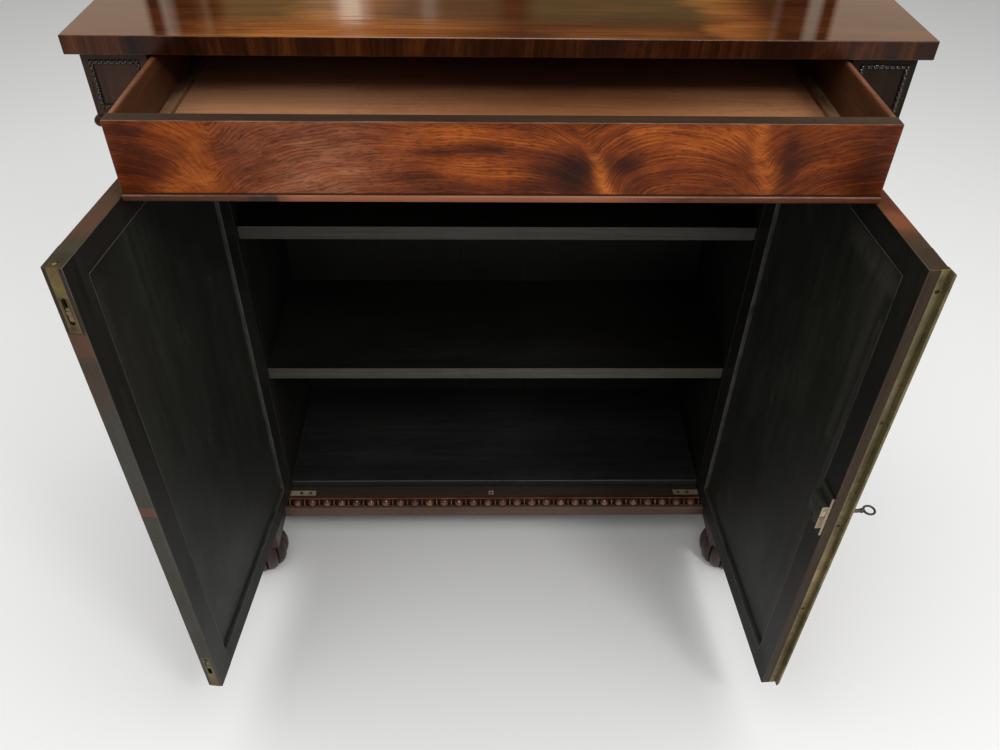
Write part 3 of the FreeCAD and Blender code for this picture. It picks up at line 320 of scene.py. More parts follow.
def drawer_figure(name):
    """Figured veneer: rings follow the stored figure, flames are lighter."""
    t = Tree(name)
    g = t.sep(t.attr("grain"))
    f = t.sep(t.attr("fig"))
    x, z = g[0], g[1]
    ring, tone = f[0], f[2]
    flame = t.math("MAXIMUM", f[1], 0.0)
    # negative second figure values mark where the painted sheen lies
    painted_sheen = t.math("MAXIMUM", t.mul(f[1], -1.0), 0.0)
    jit = t.noise(t.comb(t.mul(x, 20.0), t.mul(z, 60.0), 0.0), 1.0, 5.0, 0.66)
    ring = t.add(ring, t.mul(t.sub(jit, 0.5), 0.0048))
    rings = t.noise(t.comb(t.mul(x, 5.0), t.mul(ring, 230.0), 0.0), 1.0, 3.0, 0.62)
    fine = t.noise(t.comb(t.mul(x, 16.0), t.mul(ring, 640.0), 3.0), 1.0, 3.0, 0.70)
    wide = t.noise(t.comb(t.mul(x, 2.6), t.mul(ring, 60.0), 7.0), 1.0, 2.0, 0.5)
    mott = t.noise(t.comb(t.mul(x, 30.0), t.mul(z, 70.0), 1.0), 1.0, 5.0, 0.68)
    drift = t.noise(t.comb(t.mul(x, 11.0), t.mul(ring, 110.0), 5.0), 1.0, 4.0, 0.62)
    v = t.add(t.add(t.mul(rings, 0.14), t.mul(fine, 0.27)), t.add(t.mul(wide, 0.09), t.add(t.mul(mott, 0.24), t.mul(drift, 0.26))))
    v = t.add(t.mul(t.sub(v, 0.5), 1.40), 0.5)
    v = t.add(v, t.mul(t.sub(tone, 0.5), 0.66))
    col = t.ramp(v, [(0.16, (0.022, 0.0044, 0.0014)), (0.34, (0.076, 0.0138, 0.0024)),
                     (0.48, (0.172, 0.0335, 0.0046)), (0.60, (0.290, 0.0640, 0.0084)),
                     (0.74, (0.430, 0.1120, 0.0150)), (0.92, (0.55, 0.175, 0.032))])
    # painted sheen: a grey-pink reflection painted over part of the polish
    sheen_col = t.ramp(v, [(0.20, (0.080, 0.025, 0.0120)), (0.50, (0.225, 0.084, 0.045)), (0.80, (0.370, 0.170, 0.104))])
    col = t.mix(t.mul(painted_sheen, t.span(mott, 0.36, 0.62, 0.55, 1.0)), col, sheen_col)
    fl = t.math("MULTIPLY", flame, t.span(t.add(t.mul(mott, 0.8), t.mul(fine, 0.2)), 0.36, 0.60, 0.60, 1.10), clamp=True)
    fcol = t.ramp(t.add(t.mul(fine, 0.45), t.mul(mott, 0.55)),
                  [(0.30, (0.260, 0.052, 0.0080)), (0.50, (0.430, 0.106, 0.0150)), (0.70, (0.62, 0.195, 0.037))])
    col = t.mix(t.mul(fl, 0.9), col, fcol)
    # growth rings: thin dark lines a few millimetres apart
    wave = t.math("SINE", t.add(t.mul(ring, 1680.0), t.mul(drift, 7.0)))
    brk = t.noise(t.comb(t.mul(x, 13.0), t.mul(z, 40.0), 21.0), 1.0, 3.0, 0.6)
    lines = t.mul(t.mul(t.span(wave, 0.35, 0.95), t.span(brk, 0.40, 0.58)), t.span(fl, 0.0, 0.5, 1.0, 0.06))
    col = t.mix(t.mul(lines, 0.44), col, (0.034, 0.0072, 0.0022))
    ln = t.noise(t.comb(t.mul(x, 5.0), t.mul(ring, 120.0), 11.0), 1.0, 2.0, 0.5)
    near = t.math("ABSOLUTE", t.sub(ln, 0.5))
    dark = t.mul(t.span(near, 0.0, 0.022, 1.0, 0.0), t.span(wide, 0.44, 0.60, 1.0, 0.0))
    dark = t.mul(dark, t.span(fl, 0.0, 0.6, 1.0, 0.2))
    col = t.mix(t.mul(dark, 0.34), col, (0.018, 0.0045, 0.0018))
    pr = t.noise(t.comb(t.mul(x, 95.0), t.mul(ring, 760.0), 0.0), 1.0, 1.0, 0.5)
    pore = t.mul(t.span(pr, 0.55, 0.64), t.span(mott, 0.30, 0.55, 0.5, 1.0))
    col = t.mix(t.mul(pore, 0.55), col, (0.022, 0.0050, 0.0018))
    edge = t.attr("edge", "Fac")
    rub = t.mul(edge, t.span(t.noise(t.comb(t.mul(x, 12.0), t.mul(z, 60.0), 0.0), 1.0, 3.0, 0.6),
                             0.4, 0.62, 0.1, 1.0))
    col = t.mix(t.mul(rub, 0.6), col, (0.20, 0.115, 0.075))
    rough_v = t.span(t.noise(t.comb(t.mul(x, 6.0), t.mul(z, 12.0), 0.0), 1.0, 4.0, 0.6), 0.3, 0.7, 0.26, 0.40)
    nrm = t.bump(t.sub(t.mul(fine, 0.4), t.mul(pore, 0.6)), 0.00005, 1.0,
                 t.bump(t.noise(t.comb(t.mul(x, 4.0), t.mul(z, 9.0), 0.0), 1.0, 1.0), 0.0016, 0.6))
    t.principled(Base_Color=col, Roughness=rough_v, Specular_IOR_Level=0.12, Normal=nrm)
    MATS[name] = t.mat
    return t.mat


def dull_wood(name, coords="grain", a=(0.10, 0.06, 0.032), b=(0.20, 0.125, 0.068), c=(0.28, 0.18, 0.10),
              wear=(0.3, 0.2, 0.12), worn=0.4, rough=0.62, spec=0.25, bands=34.0, dirt=0.35,
              dirt_col=(0.03, 0.02, 0.013), bump=1.0, zones=()):
    """Plain timber, oiled or bare: straight grain, pores, grime."""
    if name in MATS:
        return MATS[name]
    t = Tree(name)
    x, y, z = grain_of(t, coords)
    wv = t.mul(t.sub(t.noise(t.comb(t.mul(x, 1.4), t.mul(y, 6.0), t.mul(z, 6.0)), 1.0, 2.0), 0.5), 0.06)
    yy, zz = t.add(y, wv), t.add(z, wv)
    band = t.noise(t.comb(t.mul(x, 0.8), t.mul(yy, bands), t.mul(zz, bands)), 1.0, 3.0, 0.6)
    fine = t.noise(t.comb(t.mul(x, 6.0), t.mul(yy, bands * 11), t.mul(zz, bands * 11)), 1.0, 3.0, 0.65)
    v = t.add(t.mul(band, 0.6), t.mul(fine, 0.4))
    col = t.ramp(v, [(0.30, a), (0.50, b), (0.72, c)])
    pr = t.noise(t.comb(t.mul(x, 90.0), t.mul(yy, 1500.0), t.mul(zz, 1500.0)), 1.0, 1.0, 0.5)
    pore = t.span(pr, 0.58, 0.68)
    col = t.mix(t.mul(pore, 0.4), col, tuple(k * 0.35 for k in a))
    gr = t.noise(t.comb(t.mul(x, 7.0), t.mul(y, 11.0), t.mul(z, 11.0)), 1.0, 5.0, 0.62)
    if zones:
        place = t.sep(t.attr("fig"))
        shake = t.mul(t.sub(t.noise(t.comb(t.mul(x, 30.0), t.mul(y, 70.0), t.mul(z, 70.0)), 1.0, 3.0, 0.6), 0.5), 0.02)
        tex = t.span(v, 0.30, 0.70, 0.72, 1.28, False)
        for i, a0, a1, b0, b1, colour, amount in zones:
            w = t.add(place[i], t.mul(shake, min(1.0, 8.0 * min(a1 - a0, b1 - b0))))
            m = t.mul(t.span(w, a0, a1), t.span(w, b0, b1, 1.0, 0.0))
            col = t.mix(t.mul(m, amount), col, t.tint(colour, tex))
    col = t.mix(t.mul(t.span(gr, 0.48, 0.72), dirt), col, dirt_col)
    if coords == "grain":
        edge = t.attr("edge", "Fac")
        rub = t.mul(edge, t.span(t.noise(t.comb(t.mul(x, 18.0), t.mul(y, 50.0), t.mul(z, 50.0)), 1.0, 3.0, 0.6),
                                 0.38, 0.64, 0.2, 1.0))
        col = t.mix(t.mul(rub, worn), col, wear)
    rv = t.span(gr, 0.3, 0.75, rough * 0.9, min(1.0, rough * 1.15))
    nrm = t.bump(t.sub(t.mul(fine, 0.6), t.mul(pore, 0.7)), 0.00012 * bump, 1.0)
    t.principled(Base_Color=col, Roughness=rv, Specular_IOR_Level=spec, Normal=nrm)
    MATS[name] = t.mat
    return t.mat


def stained(name, coords="grain", base=(0.0105, 0.0105, 0.0085), pale=(0.020, 0.020, 0.017), red=(0.016, 0.0095, 0.0085),
            wear=(0.085, 0.083, 0.074), worn=0.8, gloss=0.44, spec=0.4, smudge=0.0, reddish=0.4, marks=()):
    """Near-black stain over plain timber, with a thin grey haze."""
    if name in MATS:
        return MATS[name]
    t = Tree(name)
    x, y, z = grain_of(t, coords)
    fine = t.noise(t.comb(t.mul(x, 5.0), t.mul(y, 330.0), t.mul(z, 330.0)), 1.0, 4.0, 0.65)
    band = t.noise(t.comb(t.mul(x, 1.2), t.mul(y, 22.0), t.mul(z, 22.0)), 1.0, 3.0, 0.6)
    cloud = t.noise(t.comb(t.mul(x, 4.0), t.mul(y, 7.0), t.mul(z, 7.0)), 1.0, 4.0, 0.6)
    speck = t.noise(t.comb(t.mul(x, 240.0), t.mul(y, 420.0), t.mul(z, 420.0)), 1.0, 2.0, 0.7)
    scuff = t.noise(t.comb(t.mul(x, 26.0), t.mul(y, 60.0), t.mul(z, 60.0)), 1.0, 5.0, 0.72)
    v = t.add(t.add(t.mul(fine, 0.36), t.mul(band, 0.20)), t.add(t.mul(cloud, 0.16), t.add(t.mul(scuff, 0.18), t.mul(speck, 0.10))))
    col = t.ramp(v, [(0.38, tuple(k * 0.55 for k in base)), (0.50, base), (0.62, pale)])
    hue = t.span(t.noise(t.comb(t.mul(x, 2.6), t.mul(y, 9.0), t.mul(z, 9.0)), 1.0, 2.0), 0.50, 0.70)
    col = t.mix(t.mul(hue, reddish), col, red)
    if smudge:
        sm = t.noise(t.comb(t.mul(x, 16.0), t.mul(y, 40.0), t.mul(z, 40.0)), 1.0, 6.0, 0.72)
        col = t.mix(t.mul(t.span(sm, 0.56, 0.72), smudge), col, tuple(k * 1.9 for k in pale))
    if marks:
        place = t.sep(t.attr("fig"))
        rough_n = t.noise(t.comb(t.mul(x, 40.0), t.mul(y, 90.0), t.mul(z, 90.0)), 1.0, 4.0, 0.65)
        for (ia, at_a, half, soft), (ib, b0, b1), colour, amount in marks:
            d = t.math("ABSOLUTE", t.sub(place[ia], at_a))
            m = t.mul(t.span(d, half, half + soft, 1.0, 0.0), t.span(rough_n, 0.34, 0.56, 0.30, 1.0))
            m = t.mul(m, t.mul(t.span(place[ib], b0 - 0.001, b0), t.span(place[ib], b1, b1 + 0.001, 1.0, 0.0)))
            col = t.mix(t.mul(m, amount), col, colour)
    if coords == "grain":
        edge = t.attr("edge", "Fac")
        rub = t.mul(edge, t.span(t.noise(t.comb(t.mul(x, 9.0), t.mul(y, 40.0), t.mul(z, 40.0)), 1.0, 3.0, 0.6),
                                 0.30, 0.60, 0.35, 1.0))
        col = t.mix(t.mul(rub, worn), col, wear)
    rv = t.span(cloud, 0.3, 0.7, gloss * 0.88, gloss * 1.2)
    slow = t.noise(t.comb(t.mul(x, 2.2), t.mul(y, 5.5), t.mul(z, 5.5)), 1.0, 1.0)
    nrm = t.bump(t.add(t.mul(fine, 0.6), t.mul(speck, 0.15)), 0.000025, 1.0, t.bump(slow, 0.0010, 0.5))
    t.principled(Base_Color=col, Roughness=rv, Specular_IOR_Level=spec, Normal=nrm)
    MATS[name] = t.mat
    return t.mat


def metal(name, coords="grain", clean=(0.52, 0.40, 0.20), tarnish=(0.16, 0.125, 0.062), dark=(0.035, 0.028, 0.018),
          grey=(0.30, 0.27, 0.21), clean_at=0.5, rough=0.34, metallic=0.9, brushed=0.5, scale=1.0, edge_light=0.5,
          zones=()):
    """Old metal: brown tarnish in clouds, dark spots, worn edges, file marks."""
    if name in MATS:
        return MATS[name]
    t = Tree(name)
    x, y, z = grain_of(t, coords)
    p = t.comb(x, y, z)
    cloud = t.noise(p, 34.0 * scale, 5.0, 0.62, 0.4)
    spots = t.noise(p, 210.0 * scale, 3.0, 0.7)
    scr = t.noise(t.comb(t.mul(x, 30.0), t.mul(y, 1400.0), t.mul(z, 1400.0)), 1.0, 2.0, 0.6)
    v = t.add(t.mul(cloud, 0.72), t.mul(scr, 0.28))
    col = t.ramp(v, [(0.30, dark), (0.44, tarnish), (clean_at + 0.06, tuple((a + b) / 2 for a, b in zip(tarnish, clean))),
                     (0.74, clean)])
    col = t.mix(t.mul(t.span(spots, 0.54, 0.68), 0.6), col, dark)
    col = t.mix(t.mul(t.span(t.noise(p, 14.0 * scale, 3.0), 0.52, 0.7), 0.5), col, grey)
    if zones:
        place = t.sep(t.attr("fig"))
        shake = t.mul(t.sub(t.noise(p, 160.0, 3.0, 0.6), 0.5), 0.008)
        tex = t.span(cloud, 0.30, 0.70, 0.75, 1.25, False)
        for i, a0, a1, b0, b1, colour, amount in zones:
            w = t.add(place[i], t.mul(shake, min(1.0, 8.0 * min(a1 - a0, b1 - b0))))
            m = t.mul(t.span(w, a0, a1), t.span(w, b0, b1, 1.0, 0.0))
            col = t.mix(t.mul(m, amount), col, t.tint(colour, tex))
    if coords == "grain":
        edge = t.attr("edge", "Fac")
        col = t.mix(t.mul(edge, edge_light), col, tuple(min(1.0, k * 1.35) for k in clean))
    rv = t.add(t.span(cloud, 0.35, 0.65, rough * 1.4, rough * 0.8), t.mul(spots, 0.12))
    nrm = t.bump(t.add(t.mul(scr, 0.5 * brushed), t.mul(spots, 0.5)), 0.00005, 1.0)
    t.principled(Base_Color=col, Metallic=metallic, Roughness=rv, Normal=nrm)
    MATS[name] = t.mat
    return t.mat


# ------------------------------------------------------------------ meshes ---
def link(ob):
    scene.collection.objects.link(ob)
    return ob


def box_bm(lo, hi, bevel=0.0008, segs=3, only=None):
    """Block between two corners with softened arrises; only picks the edges
    by the two outward directions that meet there."""
    bm = bmesh.new()
    bmesh.ops.create_cube(bm, size=1.0)
    lo, hi = Vector(lo), Vector(hi)
    size, mid = hi - lo, (hi + lo) / 2
    for v in bm.verts:
        v.co = Vector((v.co.x * size.x + mid.x, v.co.y * size.y + mid.y, v.co.z * size.z + mid.z))
    bmesh.ops.recalc_face_normals(bm, faces=bm.faces)
    if bevel:
        es = list(bm.edges)
        if only is not None:
            keep = []
            for e in es:
                dirs = set()
                for f in e.link_faces:
                    n = f.normal
                    k = max(range(3), key=lambda i: abs(n[i]))
                    dirs.add(("+" if n[k] > 0 else "-") + "xyz"[k])
                if any(set(o.split()) <= dirs for o in only):
                    keep.append(e)
            es = keep
        bmesh.ops.bevel(bm, geom=es, offset=bevel, offset_type="OFFSET", segments=segs, profile=0.5,
                        affect="EDGES", clamp_overlap=True)
    return bm


def prism_bm(points, a0, a1, axis="z", bevel=0.0, segs=2, angle=40.0):
    """Outline in a plane carried along an axis: points are (x, y) for z, (y, z)
    for x and (x, z) for y."""
    bm = bmesh.new()

    def at(p, a):
        return {"z": (p[0], p[1], a), "x": (a, p[0], p[1]), "y": (p[0], a, p[1])}[axis]
    lower = [bm.verts.new(at(p, a0)) for p in points]
    upper = [bm.verts.new(at(p, a1)) for p in points]
    n = len(points)
    bm.faces.new(lower[::-1])
    bm.faces.new(upper)
    for i in range(n):
        bm.faces.new((lower[i], lower[(i + 1) % n], upper[(i + 1) % n], upper[i]))
    bmesh.ops.recalc_face_normals(bm, faces=bm.faces)
    if bevel:
        es = [e for e in bm.edges if len(e.link_faces) == 2 and
              e.calc_face_angle(0.0) > math.radians(angle)]
        bmesh.ops.bevel(bm, geom=es, offset=bevel, offset_type="OFFSET", segments=segs, profile=0.5,
                        affect="EDGES", clamp_overlap=True)
    return bm


def lathe_bm(profile, steps=64, axis="z", at=(0, 0, 0), cap=True):
    """Turned piece: (radius, height) pairs; a radius of 0 closes on the axis."""
    bm = bmesh.new()
    rings = []

    def place(r, h, a):
        c, s = r * math.cos(a), r * math.sin(a)
        p = {"z": (c, s, h), "x": (h, c, s), "y": (c, h, s)}[axis]
        return Vector(p) + Vector(at)
    for r, h in profile:
        if r <= 1e-7:
            rings.append([bm.verts.new(place(0, h, 0))])
        else:
            rings.append([bm.verts.new(place(r, h, 2 * math.pi * k / steps)) for k in range(steps)])
    for a, b in zip(rings, rings[1:]):
        for k in range(steps):
            k2 = (k + 1) % steps
            if len(a) == 1 and len(b) == 1:
                continue
            if len(a) == 1:
                bm.faces.new((a[0], b[k], b[k2]))
            elif len(b) == 1:
                bm.faces.new((a[k], a[k2], b[0]))
            else:
                bm.faces.new((a[k], a[k2], b[k2], b[k]))
    if cap:
        for ring in (rings[0], rings[-1]):
            if len(ring) > 1:
                bm.faces.new(ring)
    bmesh.ops.recalc_face_normals(bm, faces=bm.faces)
    return bm


def smooth_profile(points, keep=(), per=4):
    """Catmull-Rom through the points; those in keep stay sharp corners."""
    out = []
    n = len(points)
    for i in range(n - 1):
        p1, p2 = points[i], points[i + 1]
        p0 = points[i - 1] if i > 0 and i not in keep else (2 * p1[0] - p2[0], 2 * p1[1] - p2[1])
        p3 = points[i + 2] if i + 2 < n and (i + 1) not in keep else (2 * p2[0] - p1[0], 2 * p2[1] - p1[1])
        for k in range(per):
            t = k / per
            q = []
            for a, b, c, d in zip(p0, p1, p2, p3):
                q.append(0.5 * (2 * b + (c - a) * t + (2 * a - 5 * b + 4 * c - d) * t * t +
                                (3 * b - a - 3 * c + d) * t ** 3))
            out.append((max(0.0, q[0]), q[1]))
    out.append(points[-1])
    return out


def carved(bm, tools):
    """bm less each tool, by exact booleans."""
    def obj_of(b, name):
        me = bpy.data.meshes.new(name)
        b.to_mesh(me)
        b.free()
        return link(bpy.data.objects.new(name, me))
    base = obj_of(bm, "carve_base")
    cutters = []
    for i, tool in enumerate(tools):
        c = obj_of(tool, "carve_tool%d" % i)
        m = base.modifiers.new("cut%d" % i, "BOOLEAN")
        m.operation = "DIFFERENCE"
        m.solver = "EXACT"
        m.object = c
        cutters.append(c)
    bpy.context.view_layer.update()
    dg = bpy.context.evaluated_depsgraph_get()
    me = bpy.data.meshes.new_from_object(base.evaluated_get(dg))
    out = bmesh.new()
    out.from_mesh(me)
    for o in [base] + cutters:
        old = o.data
        bpy.data.objects.remove(o)
        bpy.data.meshes.remove(old)
    bpy.data.meshes.remove(me)
    return out


class Piece:
    """Collects closed bodies into one object with grain, edge and figure data."""

    def __init__(self, name, mats):
        self.name, self.mats = name, mats
        self.v, self.f, self.m, self.g, self.e, self.x, self.s = [], [], [], [], [], [], []
        self.count = 0

    def add(self, bm, M=None, grain="xyz", seed=0, box=None, wear=0.0015, pick=None, edge=None, fig=None,
            jitter=0.0):
        bm.verts.ensure_lookup_table()
        bm.faces.ensure_lookup_table()
        co = np.array([v.co[:] for v in bm.verts], float).reshape(-1, 3)
        bm.normal_update()
        rnd = random.Random(7919 * (seed + 1) + 13)
        off = np.array([rnd.uniform(-4, 4), rnd.uniform(-2, 2), rnd.uniform(-2, 2)])
        order = ["xyz".index(c) for c in grain]
        self.g.append(co[:, order] + off)
        if edge is not None:
            ev = np.array([edge(c) for c in co], float)
        elif box is not None:
            lo, hi = np.array(box[0], float), np.array(box[1], float)
            d = np.minimum(np.abs(co - lo), np.abs(hi - co))
            tt = np.sort(np.clip(1 - d / wear, 0, 1), axis=1)
            ev = np.clip(2.2 * tt[:, 2] * tt[:, 1], 0, 1)
            # flat faces stay clean: only points inside a softened arris count
            on = (d < 1e-6).sum(axis=1)
            ev = np.where((on >= 1) & (tt[:, 1] < 0.02), 0.0, ev)
        else:
            ev = np.zeros(len(co))
        self.e.append(ev)
        self.x.append(np.array([fig(c) for c in co], float) if fig is not None else np.zeros((len(co), 3)))
        for f in bm.faces:
            self.f.append([v.index + self.count for v in f.verts])
            self.m.append(pick(f.calc_center_median(), f.normal) if pick else 0)
        if M is not None:
            h = np.c_[co, np.ones(len(co))] @ np.array(M).T
            co = h[:, :3]
            if M.determinant() < 0:
                for k in range(len(self.f) - len(bm.faces), len(self.f)):
                    self.f[k] = self.f[k][::-1]
        self.v.append(co)
        self.count += len(co)
        bm.free()
        return self

    def done(self, body, nodes, slot, smooth=32.0, weighted=True):
        me = bpy.data.meshes.new(self.name)
        v = np.concatenate(self.v)
        me.from_pydata(v.tolist(), [], self.f)
        for m in self.mats:
            me.materials.append(m)
        me.polygons.foreach_set("material_index", self.m)
        for name, kind, data, key in (("grain", "FLOAT_VECTOR", self.g, "vector"),
                                      ("edge", "FLOAT", self.e, "value"),
                                      ("fig", "FLOAT_VECTOR", self.x, "vector")):
            a = me.attributes.new(name, kind, "POINT")
            a.data.foreach_set(key, np.concatenate(data).astype(np.float32).ravel())
        me.validate(clean_customdata=False)
        me.update()
        me.polygons.foreach_set("use_smooth", [True] * len(me.polygons))
        me.set_sharp_from_angle(angle=math.radians(smooth))
        ob = link(bpy.data.objects.new(self.name, me))
        if weighted:
            w = ob.modifiers.new("normals", "WEIGHTED_NORMAL")
            w.keep_sharp = True
            w.weight = 60
        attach(ob, body)
        if nodes:
            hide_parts(*nodes)
        return ob


def board(name, body, slot, mats, bevel=0.0008, segs=3, grain="xyz", seed=0, pick=None, node=None, tools=(),
          wear=None, only=None):
    """Beveled board that stands for a plain CAD board of the same box."""
    lo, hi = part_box(node or name)
    bm = box_bm(lo, hi, bevel, segs, only)
    if tools:
        bm = carved(bm, tools)
    p = Piece("vis_" + name, mats)
    p.add(bm, None, grain, seed, (lo, hi), wear or bevel, pick)
    return p.done(body, [node or name], slot)


# ---------------------------------------------------------- material stock ---
M_TOP = top_figure("top_veneer")
M_TOPEDGE = rosewood("top_crossband", dark=(0.0075, 0.0022, 0.0009), mid=(0.0300, 0.0075, 0.0018),
                     light=(0.150, 0.0430, 0.0100), gloss=0.26, bands=74.0, spec=0.22, worn=0.6, lines=0.85,
                     tone_gain=0.75, pores=0.6)
M_CASE = rosewood("case_veneer", dark=(0.011, 0.0052, 0.0034), mid=(0.036, 0.0150, 0.0080),
                  light=(0.085, 0.034, 0.016), gloss=0.30, bands=24.0, worn=0.5)
M_FIELD = rosewood("case_field", dark=(0.016, 0.0075, 0.0045), mid=(0.045, 0.0185, 0.0100),
                   light=(0.080, 0.034, 0.017), gloss=0.34, bands=24.0, worn=0.4, lines=0.4)
M_CARVED = rosewood("carved_wood", dark=(0.014, 0.0055, 0.004), mid=(0.060, 0.020, 0.011),
                    light=(0.13, 0.048, 0.026), wear=(0.17, 0.085, 0.06), gloss=0.24, bands=30.0, spec=0.5,
                    lines=0.5)
M_BEADS = rosewood("bead_wood", dark=(0.022, 0.0068, 0.0038), mid=(0.086, 0.0250, 0.0125),
                   light=(0.18, 0.056, 0.026), wear=(0.34, 0.21, 0.15), gloss=0.17, bands=60.0, spec=0.5,
                   lines=0.4, worn=0.85)
# near-black ground behind the beads: painted shade between the beads
M_BEAD_GROUND_PAINTED_SHADE = rosewood("bead_ground_painted_shade", dark=(0.005, 0.0025, 0.002), mid=(0.014, 0.006, 0.0045),
                      light=(0.030, 0.013, 0.009), gloss=0.4, bands=60.0, spec=0.1, lines=0.3, worn=0.0)
M_PEARL = rosewood("pearl_wood", dark=(0.0050, 0.0028, 0.0020), mid=(0.0150, 0.0078, 0.0052),
                   light=(0.050, 0.022, 0.015), gloss=0.24, bands=60.0, spec=0.6, lines=0.3)
M_DRAWER = drawer_figure("drawer_figure")
M_DRAWERTOP = dull_wood("drawer_top_edge", a=(0.011, 0.0052, 0.0028), b=(0.021, 0.0104, 0.0058), c=(0.038, 0.0205, 0.0122),
                        wear=(0.24, 0.17, 0.12), worn=0.8, rough=0.45, spec=0.2, dirt=0.3,
                        dirt_col=(0.009, 0.005, 0.0035))
M_DBEAD = dull_wood("drawer_strip", a=(0.048, 0.0125, 0.0052), b=(0.092, 0.025, 0.0105), c=(0.155, 0.048, 0.021),
                    wear=(0.30, 0.15, 0.095), worn=0.7, rough=0.42, spec=0.13, dirt=0.45,
                    dirt_col=(0.030, 0.011, 0.006),
                    zones=((0, -0.26, -0.22, 0.10, 0.20, (0.255, 0.088, 0.045), 0.85),
                           (0, -1.0, -0.9, -0.30, -0.26, (0.050, 0.0245, 0.0135), 0.7),
                           (0, -0.275, -0.27, -0.244, -0.240, (0.028, 0.021, 0.017), 0.9)))
M_DLINE = dull_wood("drawer_strip_quirk", a=(0.010, 0.0040, 0.0026), b=(0.022, 0.0082, 0.0050), c=(0.040, 0.0150, 0.0090),
                    worn=0.0, rough=0.5, spec=0.15)
M_DSIDE = dull_wood("drawer_side_wood", a=(0.033, 0.0130, 0.0062), b=(0.070, 0.0280, 0.0128), c=(0.115, 0.049, 0.024),
                    wear=(0.20, 0.075, 0.042), worn=0.75, rough=0.52, bands=26.0, dirt=0.35, spec=0.15,
                    dirt_col=(0.022, 0.0098, 0.0052))
M_DSIDETOP = dull_wood("drawer_side_top", a=(0.042, 0.0135, 0.0062), b=(0.088, 0.0290, 0.0135), c=(0.150, 0.058, 0.032),
                       wear=(0.22, 0.105, 0.068), worn=0.6, rough=0.5, bands=26.0, dirt=0.5, spec=0.15,
                       dirt_col=(0.035, 0.015, 0.010))
M_DBOTTOM = dull_wood("drawer_bottom_wood", a=(0.17, 0.070, 0.030), b=(0.27, 0.122, 0.057), c=(0.35, 0.170, 0.086),
                      wear=(0.4, 0.25, 0.14), worn=0.2, rough=0.66, bands=20.0, dirt=0.45, spec=0.10,
                      dirt_col=(0.115, 0.050, 0.024),
                      zones=((0, -0.16, 0.05, 0.16, 0.30, (0.175, 0.066, 0.026), 0.75),
                             (0, -0.43, -0.40, -0.25, -0.10, (0.36, 0.185, 0.098), 0.6)))
M_SLIP = dull_wood("drawer_slip_wood", a=(0.024, 0.0100, 0.0045), b=(0.048, 0.0205, 0.0092), c=(0.080, 0.037, 0.018),
                   wear=(0.22, 0.125, 0.070), worn=0.7, rough=0.6, bands=26.0, dirt=0.35, spec=0.12,
                   dirt_col=(0.03, 0.015, 0.008))
M_SECOND = dull_wood("secondary_wood", a=(0.14, 0.078, 0.038), b=(0.24, 0.142, 0.072), c=(0.33, 0.21, 0.115),
                     rough=0.72, spec=0.2, bands=14.0, dirt=0.5, dirt_col=(0.075, 0.045, 0.027))
M_SECOND_O = dull_wood("secondary_wood_inner", "xyz", a=(0.10, 0.056, 0.028), b=(0.17, 0.10, 0.052),
                       c=(0.24, 0.15, 0.085), rough=0.72, spec=0.2, bands=14.0, dirt=0.5,
                       dirt_col=(0.05, 0.03, 0.02))
M_SECOND_Y = dull_wood("secondary_wood_deep", "yxz", a=(0.10, 0.056, 0.028), b=(0.17, 0.10, 0.052),
                       c=(0.24, 0.15, 0.085), rough=0.72, spec=0.2, bands=14.0, dirt=0.5,
                       dirt_col=(0.05, 0.03, 0.02))
M_INSIDE = stained("inside_stain", base=(0.0066, 0.0068, 0.0056), pale=(0.0132, 0.0130, 0.0108),
                   red=(0.0135, 0.0090, 0.0080), wear=(0.04, 0.036, 0.03), gloss=0.55, spec=0.25)
M_BOTTOM = stained("bottom_board_stain", base=(0.0135, 0.0140, 0.0145), pale=(0.025, 0.0255, 0.0260),
                   red=(0.0160, 0.0140, 0.0140), wear=(0.085, 0.085, 0.085), worn=0.9, gloss=0.5, spec=0.3)
M_INSIDE_Z = stained("inside_stain_upright", "zxy", base=(0.0044, 0.0046, 0.0036), pale=(0.0086, 0.0086, 0.0068),
                     red=(0.009, 0.006, 0.005), gloss=0.55, spec=0.25)
M_SHELFEDGE = stained("shelf_edge", base=(0.052, 0.046, 0.035), pale=(0.085, 0.078, 0.062), red=(0.066, 0.043, 0.034),
                      wear=(0.13, 0.115, 0.09), worn=0.6, gloss=0.5, spec=0.3)
RU0, RU1, RZ0, RZ1 = 0.039, 0.3682, 0.165, 0.8702      # the sunk field of the doors
# PALE_L and PALE_R: pale lines along the arrises of the sunk field, partly worn edge and partly painted highlight
PALE_L, PALE_R = (0.085, 0.084, 0.074), (0.105, 0.104, 0.092)
M_DOORIN_L = stained("left_door_inside", base=(0.0105, 0.0104, 0.0082), pale=(0.0185, 0.0182, 0.0148),
                     red=(0.0180, 0.0115, 0.0100), wear=(0.105, 0.103, 0.092), worn=0.9, gloss=0.50, spec=0.22,
                     reddish=0.45,
                     marks=(((0, RU1 + 0.0007, 0.0008, 0.0008), (2, RZ0, RZ1), PALE_L, 0.80),
                            ((2, RZ1 + 0.0007, 0.0010, 0.0008), (0, RU0, RU1 + 0.001), PALE_L, 0.80),
                            ((0, RU0 - 0.0006, 0.0006, 0.0006), (2, RZ0, RZ1), PALE_L, 0.5),
                            ((2, RZ0 - 0.0006, 0.0005, 0.0006), (0, RU0, RU1), PALE_L, 0.4)))
